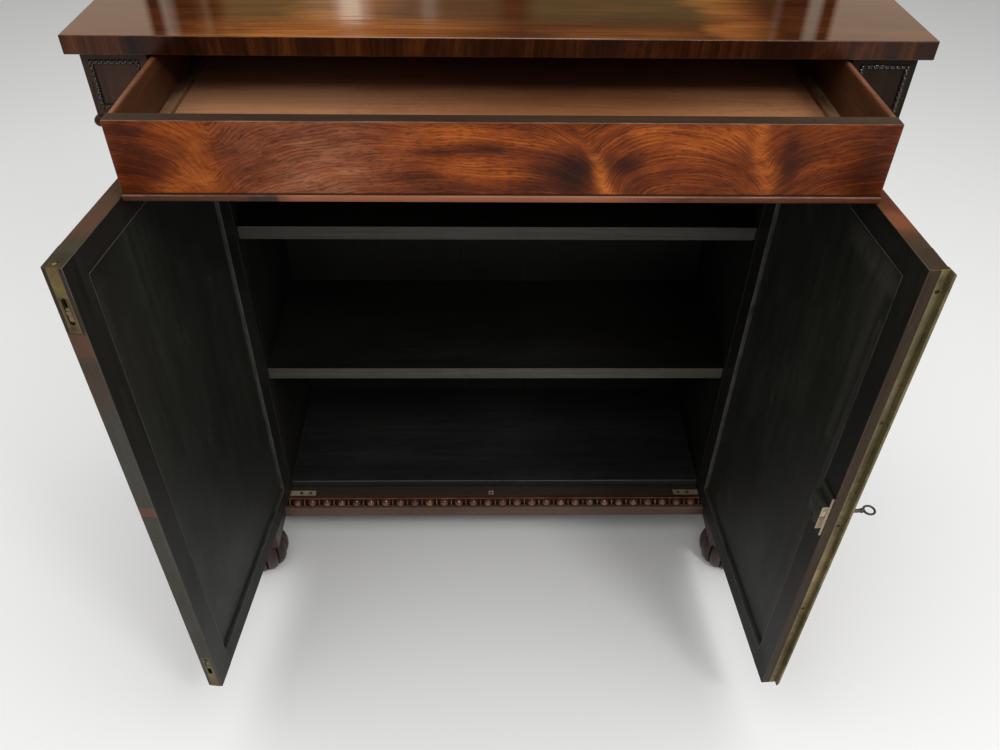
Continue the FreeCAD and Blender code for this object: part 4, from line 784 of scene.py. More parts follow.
M_DOORIN_R = stained("right_door_inside", base=(0.0085, 0.0084, 0.0066), pale=(0.0150, 0.0148, 0.0120),
                     red=(0.0150, 0.0095, 0.0080), wear=(0.105, 0.103, 0.092), worn=0.9, gloss=0.50, spec=0.20,
                     reddish=0.35,
                     marks=(((0, RU1 + 0.0007, 0.0006, 0.0007), (2, RZ0, RZ1), PALE_R, 0.85),
                            ((2, RZ1 + 0.0007, 0.0007, 0.0007), (0, RU0, RU1 + 0.001), PALE_R, 0.85),
                            ((0, RU0 - 0.0006, 0.0006, 0.0006), (2, RZ0, RZ1), PALE_R, 0.5),
                            ((2, RZ0 - 0.0006, 0.0005, 0.0006), (0, RU0, RU1), PALE_R, 0.4)))
M_PANEL_L = stained("left_door_panel_inside", base=(0.0128, 0.0134, 0.0108), pale=(0.0235, 0.0238, 0.0200),
                    red=(0.0170, 0.0142, 0.0122), gloss=0.50, spec=0.24, smudge=0.35, reddish=0.3,
                    marks=(((0, RU1 - 0.010, 0.004, 0.006), (2, 0.18, 0.84), (0.026, 0.026, 0.021), 0.5),
                           ((2, 0.20, 0.02, 0.10), (0, 0.0, 0.40), (0.034, 0.035, 0.031), 0.30)))
M_PANEL_R = stained("right_door_panel_inside", base=(0.0130, 0.0134, 0.0104), pale=(0.0240, 0.0240, 0.0195),
                    red=(0.0180, 0.0145, 0.0118), gloss=0.50, spec=0.24, smudge=0.45, reddish=0.3,
                    marks=(((0, RU1 - 0.012, 0.005, 0.005), (2, 0.18, 0.80), (0.036, 0.035, 0.029), 0.55),
                           ((0, RU1 - 0.035, 0.002, 0.012), (2, 0.60, 0.84), (0.034, 0.033, 0.028), 0.45),
                           ((2, 0.848, 0.006, 0.016), (0, 0.24, 0.36), (0.042, 0.041, 0.034), 0.5)))
M_DOORTOP_L = dull_wood("left_door_top_edge", a=(0.0150, 0.0118, 0.0072), b=(0.0290, 0.0235, 0.0145), c=(0.050, 0.0420, 0.0270),
                        wear=(0.105, 0.075, 0.050), worn=0.5, rough=0.6, bands=30.0, dirt=0.45, spec=0.15,
                        dirt_col=(0.016, 0.0115, 0.0075),
                        zones=((0, 0.20, 0.26, 0.335, 0.365, (0.066, 0.032, 0.020), 0.75),
                               (0, 0.345, 0.380, 0.5, 0.6, (0.038, 0.034, 0.022), 0.85)))
M_DOORTOP_R = dull_wood("right_door_top_edge", a=(0.036, 0.0110, 0.0042), b=(0.074, 0.0225, 0.0080), c=(0.120, 0.0400, 0.0160),
                        wear=(0.13, 0.078, 0.050), worn=0.5, rough=0.6, bands=30.0, dirt=0.45, spec=0.15,
                        dirt_col=(0.026, 0.015, 0.0095),
                        zones=((0, 0.285, 0.305, 0.325, 0.345, (0.135, 0.045, 0.018), 0.8),
                               (0, 0.318, 0.366, 0.5, 0.6, (0.027, 0.0205, 0.0125), 0.9),
                               (0, 0.05, 0.10, 0.16, 0.22, (0.050, 0.018, 0.008), 0.5)))
M_DOORFREE_L = dull_wood("left_door_free_edge", a=(0.030, 0.0285, 0.0215), b=(0.043, 0.0410, 0.0325), c=(0.060, 0.0575, 0.0470),
                         wear=(0.075, 0.073, 0.062), worn=0.8, rough=0.6, bands=44.0, dirt=0.25, spec=0.2,
                         dirt_col=(0.024, 0.023, 0.018),
                         zones=((2, 0.690, 0.745, 1.0, 1.1, (0.058, 0.034, 0.022), 0.75),
                                (2, 0.778, 0.800, 1.0, 1.1, (0.105, 0.046, 0.026), 0.75),
                                (2, 0.819, 0.826, 1.0, 1.1, (0.021, 0.0155, 0.0085), 0.92),
                                (2, 0.5325, 0.5345, 0.5490, 0.5510, (0.120, 0.046, 0.028), 0.85)))
M_DOORFREE_R = dull_wood("right_door_free_edge", a=(0.027, 0.0175, 0.0112), b=(0.044, 0.0295, 0.0190), c=(0.066, 0.0460, 0.0310),
                         wear=(0.115, 0.050, 0.030), worn=0.85, rough=0.6, bands=44.0, dirt=0.35, spec=0.10,
                         dirt_col=(0.022, 0.019, 0.014),
                         zones=((2, -1.0, -0.9, 0.30, 0.46, (0.037, 0.030, 0.024), 0.6),))
M_DOOROUT = rosewood("door_outside", dark=(0.014, 0.005, 0.0034), mid=(0.075, 0.021, 0.0085),
                     light=(0.19, 0.064, 0.021), gloss=0.24, bands=20.0, worn=0.5)
M_BRASS = metal("brass_plate", tarnish=(0.062, 0.046, 0.018), clean=(0.125, 0.096, 0.042), dark=(0.026, 0.019, 0.008),
                rough=0.48, grey=(0.070, 0.060, 0.034), edge_light=0.9,
                zones=((2, 0.8725, 0.8785, 0.8945, 0.8975, (0.36, 0.240, 0.074), 0.9),
                       (2, 0.9020, 0.9030, 1.0, 1.1, (0.066, 0.054, 0.028), 0.8),
                       (2, -1.0, -0.9, 0.215, 0.240, (0.066, 0.060, 0.044), 0.85)))
M_BRASS_O = metal("brass_plain", "xyz", tarnish=(0.36, 0.31, 0.20), clean=(0.62, 0.56, 0.41),
                  dark=(0.16, 0.13, 0.08), rough=0.5, metallic=0.45)
M_BRASS_BOLT = metal("brass_bolt", "xyz", tarnish=(0.150, 0.115, 0.055), clean=(0.30, 0.24, 0.13),
                     dark=(0.075, 0.056, 0.028), rough=0.5, metallic=0.5)
M_ASTRAGAL = metal("brass_strip", tarnish=(0.110, 0.090, 0.042), clean=(0.215, 0.182, 0.098), dark=(0.046, 0.036, 0.014),
                   grey=(0.100, 0.088, 0.052), rough=0.5, scale=0.6, clean_at=0.48, edge_light=0.8, metallic=0.75,
                   zones=((2, 0.58, 0.64, 0.80, 0.88, (0.072, 0.058, 0.030), 0.55),
                          (2, 0.30, 0.38, 0.44, 0.56, (0.290, 0.215, 0.112), 0.65),
                          (2, -1.0, -0.9, 0.28, 0.36, (0.155, 0.108, 0.056), 0.5)))
M_ASTRBEAD = metal("brass_strip_bead", tarnish=(0.130, 0.108, 0.042), clean=(0.230, 0.195, 0.088), dark=(0.056, 0.044, 0.016),
                   grey=(0.110, 0.095, 0.050), rough=0.58, scale=0.6, clean_at=0.50, edge_light=0.9, metallic=0.7)
M_SCREW = metal("screw_brass", tarnish=(0.035, 0.026, 0.013), clean=(0.085, 0.066, 0.036), dark=(0.012, 0.009, 0.005),
                rough=0.5)
M_SCREW_O = metal("screw_brass_plain", "xyz", tarnish=(0.10, 0.08, 0.045), clean=(0.22, 0.18, 0.11),
                  dark=(0.03, 0.022, 0.012), rough=0.45)
M_LOCK = metal("lock_metal", tarnish=(0.019, 0.020, 0.0135), clean=(0.040, 0.042, 0.029), dark=(0.008, 0.0085, 0.0055),
               grey=(0.027, 0.028, 0.020), rough=0.55, metallic=0.4, edge_light=0.6)
M_LOCKFACE = metal("lock_metal_face", tarnish=(0.165, 0.135, 0.085), clean=(0.36, 0.30, 0.21), dark=(0.07, 0.055, 0.032),
                   grey=(0.19, 0.165, 0.115), rough=0.42, edge_light=1.0, scale=2.4)
M_LOCKTOP = metal("lock_metal_top", tarnish=(0.016, 0.015, 0.013), clean=(0.034, 0.033, 0.028), dark=(0.006, 0.006, 0.005),
                  grey=(0.020, 0.020, 0.017), rough=0.5, metallic=0.4, edge_light=0.8)
M_STEEL = metal("key_steel", clean=(0.22, 0.21, 0.175), tarnish=(0.080, 0.075, 0.060), dark=(0.022, 0.020, 0.016),
                grey=(0.11, 0.105, 0.090), rough=0.42, scale=2.0, metallic=0.8)
M_STEEL_O = metal("bolt_steel", "xyz", clean=(0.62, 0.50, 0.40), tarnish=(0.30, 0.22, 0.16), dark=(0.06, 0.045, 0.03),
                  grey=(0.34, 0.28, 0.22), rough=0.38, scale=3.0)


def axis_of(n):
    k = max(range(3), key=lambda i: abs(n[i]))
    return ("+" if n[k] > 0 else "-") + "xyz"[k]


# --------------------------------------------------------------- top board ---
lo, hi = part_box("top_board")


def top_pick(c, n):
    if n.z > 0.72:
        return 0
    a = axis_of(n)
    if a == "-y" or (a == "+z"):
        return 1
    if a in ("+x", "-x"):
        return 2
    return 3


TOP_CROSS_SIDE = rosewood("top_crossband_side", dark=(0.010, 0.0028, 0.0012), mid=(0.040, 0.0105, 0.0030),
                          light=(0.105, 0.031, 0.0085), gloss=0.26, bands=34.0, spec=0.22, worn=0.6, lines=0.8)
bm = box_bm(lo, hi, 0.0012, 3)
p = Piece("vis_top_board", [M_TOP, M_TOPEDGE, TOP_CROSS_SIDE, M_SECOND])
p.add(bm, None, "xyz", 3, (lo, hi), 0.0012, top_pick, fig=lambda c: (c[0], c[1], c[2]))
top_board = p.done("case", ["top_board"], "top_veneer")

# The edge faces need upright grain, so their materials read the same data
# with the first two directions exchanged.


def turn_grain(mat, order):
    """Re-orders what a material reads as along, across and depth."""
    nt = mat.node_tree
    for n in list(nt.nodes):
        if n.type == "ATTRIBUTE" and n.attribute_name == "grain":
            sep = nt.nodes.new("ShaderNodeSeparateXYZ")
            com = nt.nodes.new("ShaderNodeCombineXYZ")
            users = [l.to_socket for l in n.outputs["Vector"].links]
            nt.links.new(n.outputs["Vector"], sep.inputs[0])
            for i, k in enumerate(order):
                nt.links.new(sep.outputs[k], com.inputs[i])
            for s in users:
                nt.links.new(com.outputs[0], s)


turn_grain(M_TOPEDGE, (2, 0, 1))
turn_grain(TOP_CROSS_SIDE, (2, 1, 0))

# ------------------------------------------------------------------ frieze ---
# darker copies of the field and the veneer for the right frieze block: painted shade, that block standing in shadow
M_FIELD_R_PAINTED_SHADE = rosewood("case_field_right_painted_shade", dark=(0.0060, 0.0034, 0.0020), mid=(0.0165, 0.0088, 0.0045),
                     light=(0.030, 0.016, 0.0085), gloss=0.40, bands=24.0, worn=0.4, lines=0.4, spec=0.10)
M_CASE_R_PAINTED_SHADE = rosewood("case_veneer_right_painted_shade", dark=(0.0070, 0.0042, 0.0026), mid=(0.0200, 0.0110, 0.0060),
                    light=(0.045, 0.023, 0.012), gloss=0.34, bands=24.0, worn=0.5, spec=0.12)
for side, sg in (("left", -1), ("right", 1)):
    name = "frieze_block_" + side
    lo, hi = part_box(name)
    fx0, fx1 = sorted((sg * 0.4262, sg * 0.4754))
    field = box_bm((fx0, lo.y - 0.01, 0.9342), (fx1, lo.y + 0.0007, 0.9834), 0.0)
    bm = carved(box_bm(lo, hi, 0.0009, 3), [field])

    def pick(c, n, fx0=fx0, fx1=fx1, y=lo.y):
        return 1 if abs(n.y) > 0.9 and c.y < y + 0.002 and fx0 < c.x < fx1 and 0.934 < c.z < 0.984 else 0
    p = Piece("vis_" + name, [M_CASE, M_FIELD] if sg < 0 else [M_CASE_R_PAINTED_SHADE, M_FIELD_R_PAINTED_SHADE])
    p.add(bm, None, "zxy", 11 + sg, (lo, hi), 0.0009, pick)
    p.done("case", [name], "case_veneer")

p = Piece("vis_frieze_beading", [M_PEARL])
for sg in (-1, 1):
    x_in, x_out = 0.424, 0.4776
    z0, z1, y = 0.932, 0.9856, -0.042
    w = 0.0022
    for k, (a, b, c, d) in enumerate(((x_in - w, x_out + w, z0 - w, z0 + w), (x_in - w, x_out + w, z1 - w, z1 + w),
                                      (x_in - w, x_in + w, z0 + w, z1 - w), (x_out - w, x_out + w, z0 + w, z1 - w))):
        xa, xb = sorted((sg * a, sg * b))
        p.add(box_bm((xa, y - 0.0012, c), (xb, y, d), 0.0003, 1), None, "zxy", 20 + k)
    done = set()
    for k in range(9):
        for i, j in ((k, 0), (k, 8), (0, k), (8, k)):
            if (i, j) in done:
                continue
            done.add((i, j))
            b = bmesh.new()
            bmesh.ops.create_uvsphere(b, u_segments=20, v_segments=12, radius=0.0025)
            cx, cz = sg * (x_in + (x_out - x_in) * i / 8), z0 + (z1 - z0) * j / 8
            for v in b.verts:
                v.co = Vector((v.co.x + cx, max(-0.0025, min(v.co.y, 0.0004)) + y - 0.0005, v.co.z + cz))
            p.add(b, None, "zxy", 30 + i * 9 + j + 100 * sg)
p.done("case", ["frieze_beading"], "carved_wood", 50.0, False)

for side in ("left", "right"):
    NODES["frieze_torus_" + side].data.materials.clear()
    NODES["frieze_torus_" + side].data.materials.append(
        rosewood("torus_wood", "xyz", dark=(0.0055, 0.0030, 0.0024), mid=(0.0200, 0.0085, 0.0055),
                 light=(0.050, 0.021, 0.012), gloss=0.30, bands=40.0, spec=0.22, lines=0.5))

# ----------------------------------------------------------------- columns ---
COLUMN = [(0.0, 0.0), (0.94, 0.0), (0.94, 0.0110), (0.97, 0.0125), (1.0, 0.0175), (1.0, 0.0225), (0.97, 0.0275),
          (0.92, 0.0300), (0.84, 0.0300), (0.84, 0.0340), (0.88, 0.0360), (0.88, 0.0400), (0.84, 0.0425),
          (0.78, 0.0450), (0.76, 0.0550), (0.77, 0.1500), (0.775, 0.3000), (0.765, 0.5000), (0.735, 0.7000),
          (0.69, 0.8800), (0.76, 0.8830), (0.79, 0.8865), (0.76, 0.8900), (0.69, 0.8930), (0.69, 0.9150),
          (0.72, 0.9250), (0.80, 0.9380), (0.88, 0.9480), (0.92, 0.9560), (0.92, 0.9620), (0.86, 0.9620),
          (0.86, 0.9680), (0.94, 0.9740), (1.0, 0.9800), (1.0, 1.0), (0.0, 1.0)]
for side, sg in (("left", -1), ("right", 1)):
    prof = [(r * 0.032, 0.125 + h * 0.781) for r, h in COLUMN]
    sharp = {0, 1, 2, 7, 8, 9, 13, 19, 23, 24, 29, 30, 31, 34, 35}
    prof = smooth_profile(prof, sharp, 4)
    bm = lathe_bm(prof, 72)
    for v in bm.verts:
        v.co.x += sg * 0.450
        v.co.y += -0.0035
    p = Piece("vis_column_" + side, [M_CARVED])
    p.add(bm, None, "zxy", 41 + sg)
    p.done("case", ["column_" + side], "carved_wood", 45.0)

# ------------------------------------------------------------- case timber ---
for side, sg in (("left", -1), ("right", 1)):
    pts = [(0.3865, 0.0622), (0.411, 0.0622), (0.411, 0.040), (0.488, 0.040), (0.488, 0.084), (0.3865, 0.084)]
    pts = [(sg * a, b) for a, b in pts]
    bm = prism_bm(pts, 0.125, 0.906, "z", 0.0007, 2)

    def pick(c, n, sg=sg):
        return 1 if abs(c.x) < 0.4112 and (c.y > 0.061) else 0
    p = Piece("vis_post_" + side, [M_CASE, M_INSIDE])
    p.add(bm, None, "zxy", 51 + sg, None, 0.001, pick)
    p.done("case", ["post_" + side], "case_veneer")
    board("side_panel_" + side, "case", "case_veneer", [M_CASE, M_INSIDE], 0.0008, 3, "zyx", 55 + sg,
          lambda c, n, sg=sg: 0 if n.x * sg > -0.5 else 1)
    NODES["lining_" + side].data.materials.clear()
    NODES["lining_" + side].data.materials.append(M_INSIDE_Z)
    board("plinth_block_" + side, "case", "case_veneer", [M_CASE], 0.0010, 3, "xzy", 60 + sg)
    board("plinth_side_" + side, "case", "case_veneer", [M_CASE, M_SECOND], 0.0009, 3, "yzx", 63 + sg,
          lambda c, n, sg=sg: 0 if n.x * sg > -0.5 else 1)
    NODES["drawer_runner_" + side].data.materials.clear()
    NODES["drawer_runner_" + side].data.materials.append(M_SECOND_Y)

for k, name in enumerate(("back_board_left", "back_board_centre", "back_board_right")):
    lo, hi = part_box(name)
    p = Piece("vis_" + name, [M_INSIDE, M_SECOND])
    p.add(box_bm(lo, hi, 0.0006, 2), None, "zxy", 70 + k, (lo, hi), 0.0006, lambda c, n: 0 if n.y < -0.5 else 1)
    if name.endswith("centre"):     # tongues that close the joints
        for a, b2 in ((lo.x - 0.004, lo.x + 0.002), (hi.x - 0.002, hi.x + 0.004)):
            p.add(box_bm((a, lo.y + 0.004, lo.z + 0.0005), (b2, lo.y + 0.006, hi.z - 0.0005), 0.0), None, "zxy", 74)
    p.done("case", [name], "inside_wood")
board("bottom_board", "case", "inside_wood", [M_BOTTOM], 0.0012, 3, "xyz", 75)
for k, name in enumerate(("shelf_upper", "shelf_lower")):
    lo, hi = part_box(name)
    a, b = 0.3863, 0.3893
    pts = [(-a, 0.068), (a, 0.068), (a, 0.0842), (b, 0.0842), (b, 0.328), (-b, 0.328), (-b, 0.0842), (-a, 0.0842)]
    bm = prism_bm(pts, lo.z, hi.z, "z", 0.0009, 3)
    p = Piece("vis_" + name, [M_INSIDE, M_SHELFEDGE])
    p.add(bm, None, "xyz", 77 + k, ((-a, 0.068, lo.z), (a, 0.328, hi.z)), 0.0009,
          lambda c, n: 1 if n.y < -0.6 and c.y < 0.075 else 0)
    p.done("case", [name], "inside_wood")
for name in ("drawer_rail", "rear_plinth_rail"):
    NODES[name].data.materials.clear()
    NODES[name].data.materials.append(M_SECOND_O)

# ledge board with its nosing, let in for the brass
M_LEDGE = dull_wood("ledge_wood", a=(0.046, 0.037, 0.032), b=(0.068, 0.056, 0.049), c=(0.100, 0.084, 0.074),
                    wear=(0.15, 0.13, 0.11), worn=0.6, rough=0.45, bands=24.0, dirt=0.3, spec=0.15,
                    dirt_col=(0.030, 0.020, 0.017),
                    zones=((1, -1.0, -0.9, 0.0525, 0.0575, (0.0330, 0.0215, 0.0180), 0.86),))
M_NOSE = rosewood("nosing_wood", dark=(0.022, 0.008, 0.0065), mid=(0.050, 0.019, 0.0145), light=(0.095, 0.042, 0.032),
                  wear=(0.17, 0.105, 0.080), gloss=0.36, bands=40.0, worn=0.9, lines=0.4, spec=0.12)
M_FASCIA = rosewood("fascia_wood", dark=(0.058, 0.033, 0.025), mid=(0.108, 0.064, 0.048), light=(0.160, 0.105, 0.080),
                    wear=(0.20, 0.15, 0.12), gloss=0.35, bands=34.0, worn=0.6, lines=0.3)
tools = []
for sg in (-1, 1):
    xa, xb = sorted((sg * 0.3402, sg * 0.4062))
    tools.append(box_bm((xa - 0.0001, 0.0449, 0.1225), (xb + 0.0001, 0.0571, 0.130), 0.0))
    tools.append(lathe_bm([(0.0032, 0.115), (0.0032, 0.1228)], 24, "z", (sg * 0.3972, 0.051, 0)))
tools.append(box_bm((-0.0124, 0.0464, 0.1235), (-0.0032, 0.0556, 0.130), 0.0))
tools.append(lathe_bm([(0.0034, 0.108), (0.0034, 0.1240)], 24, "z", (-0.0078, 0.051, 0)))
p = Piece("vis_ledge_board", [M_LEDGE, M_NOSE])
flat = ((-0.470, 0.044, 0.1025), (0.470, 0.085, 0.125))
p.add(carved(box_bm(flat[0], flat[1], 0.0006, 2), tools), None, "xyz", 81, flat, 0.0006)
nose = [(0.044, 0.1225), (0.044, 0.125)]
for k in range(0, 7):
    a = math.pi * k / 6
    nose.append((0.0383 - 0.00125 * math.sin(a), 0.12375 + 0.00125 * math.cos(a)))
p.add(prism_bm(nose, -0.4006, 0.4006, "x"), None, "xyz", 82, None, 0.001,
      lambda c, n: 1, edge=lambda c: 0.9 if c[1] < 0.0381 else 0.0)
p.done("case", ["ledge_board"], "case_veneer", 40.0)

board("plinth_rail", "case", "carved_wood", [M_FASCIA], 0.0008, 3, "xzy", 84)

# bead and reel
p = Piece("vis_bead_and_reel", [M_BEADS, M_BEAD_GROUND_PAINTED_SHADE])
# the strip behind the beads takes the painted-shade ground
p.add(box_bm((-0.4006, 0.040, 0.1025), (0.4006, 0.044, 0.1225), 0.0004, 2), None, "xyz", 86, None, 0.001,
      lambda c, n: 1)
GAP, R = 0.02775, 0.0086
rnd = random.Random(5)
for k in range(28):
    cx = (k - 13.5) * GAP
    prof = []
    for j in range(0, 13):
        a = math.pi / 2 * j / 12
        prof.append((R * math.cos(a), 0.040 - R * math.sin(a)))
    prof = [(R, 0.0408)] + prof[:-1] + [(0.0, 0.040 - R)]
    bm = lathe_bm(prof, 32, "y", (cx, 0, 0.1125))
    p.add(bm, None, "xyz", 200 + k, None, 0.001, None,
          edge=lambda c: max(0.0, min(1.0, (0.0345 - c[1]) / 0.003)) * 0.5)
for k in range(29):
    cx = (k - 14) * GAP
    r0, r1 = R * 0.62, R * 0.84
    half = []
    for r, x in ((0.0, -1.5), (r0, -1.5), (r0 * 1.08, -0.95), (r1 * 0.95, -0.50), (r1 * 1.01, -0.30), (r1 * 1.01, 0.30),
                 (r1 * 0.95, 0.50), (r0 * 1.08, 0.95), (r0, 1.5), (0.0, 1.5)):
        half.append((r, cx + x * MM))
    bm = bmesh.new()
    full = lathe_bm(half, 40, "x", (0, 0.040, 0.1125))
    for v in full.verts:
        v.co.y = min(v.co.y, 0.0406)
    bmesh.ops.dissolve_degenerate(full, dist=1e-6, edges=full.edges)
    bm.free()
    p.add(full, None, "xyz", 300 + k, None, 0.001, None,
          edge=lambda c, cx=cx: 1.0 if abs(c[0] - cx) < 0.0004 and c[1] < 0.0395 else 0.0)
p.done("case", ["bead_and_reel"], "carved_wood", 40.0, False)

# -------------------------------------------------------------------- feet ---
M_FOOT = rosewood("foot_wood", dark=(0.013, 0.0068, 0.0054), mid=(0.034, 0.0170, 0.0125), light=(0.072, 0.037, 0.027),
                  wear=(0.16, 0.10, 0.08), gloss=0.28, bands=34.0, spec=0.32, lines=0.3)
for side, sg in (("left", -1), ("right", 1)):
    bm = bmesh.new()
    STEPS, ROWS, LOBES = 240, 46, 10
    rows = []
    for j in range(ROWS + 1):
        t = j / ROWS
        z = 0.075 * t
        # bun outline in profile
        s = math.sin(math.pi * min(1.0, max(0.0, (z + 0.0012) / 0.0764)))
        out = 0.0315 + 0.0160 * (max(0.0, s) ** 0.60)
        valley = 0.0315 + 0.0050 * (max(0.0, s) ** 0.8)
        ring = []
        for k in range(STEPS):
            a = 2 * math.pi * k / STEPS
            u = (a / (2 * math.pi) * LOBES) % 1.0
            w = abs(math.sin(math.pi * u)) ** 0.55
            r = valley + (out - valley) * w
            ring.append(bm.verts.new((r * math.cos(a) + sg * 0.4443, r * math.sin(a) - 0.002, z)))
        rows.append(ring)
    for a, b in zip(rows, rows[1:]):
        for k in range(STEPS):
            k2 = (k + 1) % STEPS
            bm.faces.new((a[k], a[k2], b[k2], b[k]))
    neck = []
    for r, z in ((0.0300, 0.0752), (0.0315, 0.0765), (0.0350, 0.0768), (0.0380, 0.0780), (0.0380, 0.0795),
                 (0.0372, 0.080)):
        neck.append([bm.verts.new((r * math.cos(2 * math.pi * k / STEPS) + sg * 0.4443,
                                   r * math.sin(2 * math.pi * k / STEPS) - 0.002, z)) for k in range(STEPS)])
    for a, b in zip([rows[-1]] + neck, neck):
        for k in range(STEPS):
            k2 = (k + 1) % STEPS
            bm.faces.new((a[k], a[k2], b[k2], b[k]))
    bm.faces.new(rows[0][::-1])
    bm.faces.new(neck[-1])
    bmesh.ops.recalc_face_normals(bm, faces=bm.faces)
    p = Piece("vis_front_foot_" + side, [M_FOOT])

    def lobe_edge(c, sg=sg):
        r = math.hypot(c[0] - sg * 0.4443, c[1] + 0.002)
        return max(0.0, min(1.0, (r - 0.0445) / 0.003)) * 0.5
    p.add(bm, None, "zxy", 90 + sg, None, 0.001, None, edge=lobe_edge)
    p.done("case", ["front_foot_" + side], "carved_wood", 50.0, False)

REAR = [(0, 0), (26, 0), (31, 7), (34.5, 18), (36, 32), (35, 46), (31.5, 58), (27, 65), (26, 70), (31, 72), (32, 80),
        (0, 80)]
for side, sg in (("left", -1), ("right", 1)):
    prof = smooth_profile([(a * MM, b * MM) for a, b in REAR], {0, 1, 8, 9, 10, 11}, 6)
    bm = lathe_bm(prof, 64)
    for v in bm.verts:
        v.co.x += sg * 0.452
        v.co.y += 0.302
    p = Piece("vis_rear_foot_" + side, [M_FOOT])
    p.add(bm, None, "zxy", 95 + sg)
    p.done("case", ["rear_foot_" + side], "secondary_wood", 45.0)

# ------------------------------------------------------------------ drawer ---
lo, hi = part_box("drawer_front")
NX, NZ = 272, 30


def gauss(x, c, w):
    return math.exp(-((x - c) / w) ** 2)


FLAMES = (  # x at the foot, x at the head, half width, depth of the dip, reach to the left and to the right
    (-0.312, -0.300, 0.0100, 0.070, 0.030, 0.062),
    (0.117, 0.073, 0.0080, 0.058, 0.026, 0.044),
    (0.284, 0.2585, 0.0080, 0.058, 0.036, 0.044))


def figure(c):
    x, z = c[0], (c[2] - lo.z) / (hi.z - lo.z)
    ring = (c[2] - lo.z) * 1.0 + 0.005 * math.sin(5.0 * x + 1.0) + 0.0020 * math.sin(23.0 * x + 3 * z)
    ring += 0.0013 * math.sin(61.0 * x + 9.0 * z)
    flame = 0.0
    for i, (x0, x1, w, dip, wl, wr) in enumerate(FLAMES):
        xf = x0 + (x1 - x0) * z + 0.0026 * math.sin(11.0 * z + 2 * i)
        d = x - xf
        reach = wl if d < 0 else wr
        ring += dip * math.exp(-math.sqrt((d / reach) ** 2 + 0.012)) * (1.0 - 0.30 * z)
        if i == 0:
            # a wide triangle, its foot twice as wide as its middle
            e = x + 0.322 - 0.006 * z
            w2 = 0.0110 + 0.040 * max(0.0, 0.66 - z)
            up = max(0.0, min(1.0, (0.92 - z) / 0.35))
            flame += (0.14 + 0.36 * up) * math.exp(-(abs(e) / w2) ** 2.6)
            flame += 0.22 * gauss(e, 0.004, 0.020) * gauss(z, 0.75, 0.2)
        elif i == 1:
            up = max(0.0, min(1.0, (0.80 - z) / 0.30))
            flame += up * (0.62 + 0.38 * (1 - z)) * math.exp(-(abs(d) / (w * (1.05 - 0.20 * z))) ** 2.4)
            flame += 0.35 * gauss(d, -0.004, 0.014) * gauss(z, 0.02, 0.10)
        else:
            low = max(0.0, min(1.0, (z - 0.06) / 0.22))
            bulge = 1.0 + 0.5 * gauss(z, 0.35, 0.16)
            flame += low * 0.90 * math.exp(-(abs(d) / (w * bulge)) ** 2.2)
            flame += 0.18 * gauss(d, 0.0, 0.010) * gauss(z, 0.05, 0.12)
            flame -= 0.55 * gauss(d, 0.000, 0.0030) * gauss(z, 0.52, 0.07)
    flame = max(0.0, min(1.0, flame))
    # painted sheen: a broad grey-pink reflection painted left of the middle, kept off the flames
    painted_sheen = 0.85 * math.exp(-((x + 0.195) / 0.075) ** 2) * (0.75 + 0.25 * (1 - z))
    painted_sheen = max(painted_sheen, 0.55 * math.exp(-((x + 0.262) / 0.035) ** 2 - ((z - 0.75) / 0.4) ** 2))
    painted_sheen *= 1.0 - min(1.0, 1.6 * flame)
    tone = 0.46
    for cx, cz, rx, rz, amt in ((-0.395, 0.6, 0.018, 0.9, -0.16), (-0.372, 0.55, 0.022, 0.28, -0.22),
                                (-0.375, 0.88, 0.020, 0.15, -0.10), (-0.352, 0.80, 0.018, 0.2, 0.10),
                                (-0.33, 0.92, 0.04, 0.12, 0.12), (-0.285, 0.62, 0.022, 0.25, -0.10),
                                (-0.27, 0.10, 0.05, 0.14, 0.06), (-0.340, 0.20, 0.018, 0.20, 0.16), (-0.19, 0.35, 0.05, 0.4, 0.14),
                                (-0.085, 0.30, 0.040, 0.35, -0.12),
                                (-0.105, 0.72, 0.028, 0.20, 0.20), (-0.045, 0.84, 0.045, 0.14, 0.26),
                                (-0.045, 0.45, 0.030, 0.16, 0.26), (-0.060, 0.64, 0.045, 0.055, -0.26),
                                (-0.015, 0.68, 0.030, 0.06, -0.22), (0.005, 0.40, 0.030, 0.16, 0.20),
                                (0.010, 0.90, 0.035, 0.10, -0.10), (0.030, 0.72, 0.045, 0.12, 0.16),
                                (0.02, 0.15, 0.07, 0.16, -0.14), (0.076, 0.38, 0.022, 0.24, -0.34),
                                (0.050, 0.45, 0.036, 0.26, -0.26), (0.075, 0.80, 0.035, 0.12, 0.14),
                                (0.128, 0.48, 0.014, 0.16, -0.34), (0.150, 0.86, 0.025, 0.12, 0.22),
                                (0.190, 0.74, 0.050, 0.16, 0.28), (0.235, 0.85, 0.020, 0.12, 0.20),
                                (0.19, 0.22, 0.055, 0.22, -0.06), (0.245, 0.45, 0.014, 0.20, -0.06),
                                (0.298, 0.55, 0.011, 0.35, -0.30), (0.318, 0.35, 0.018, 0.3, -0.10),
                                (0.345, 0.25, 0.025, 0.2, 0.02), (0.350, 0.75, 0.025, 0.2, 0.08),
                                (0.392, 0.45, 0.026, 0.7, -0.26), (0.365, 0.45, 0.030, 0.6, -0.12)):
        tone += amt * math.exp(-((x - cx) / rx) ** 2 - ((z - cz) / rz) ** 2)
    return (ring, flame if flame > painted_sheen else -painted_sheen, max(0.0, min(1.0, tone)))


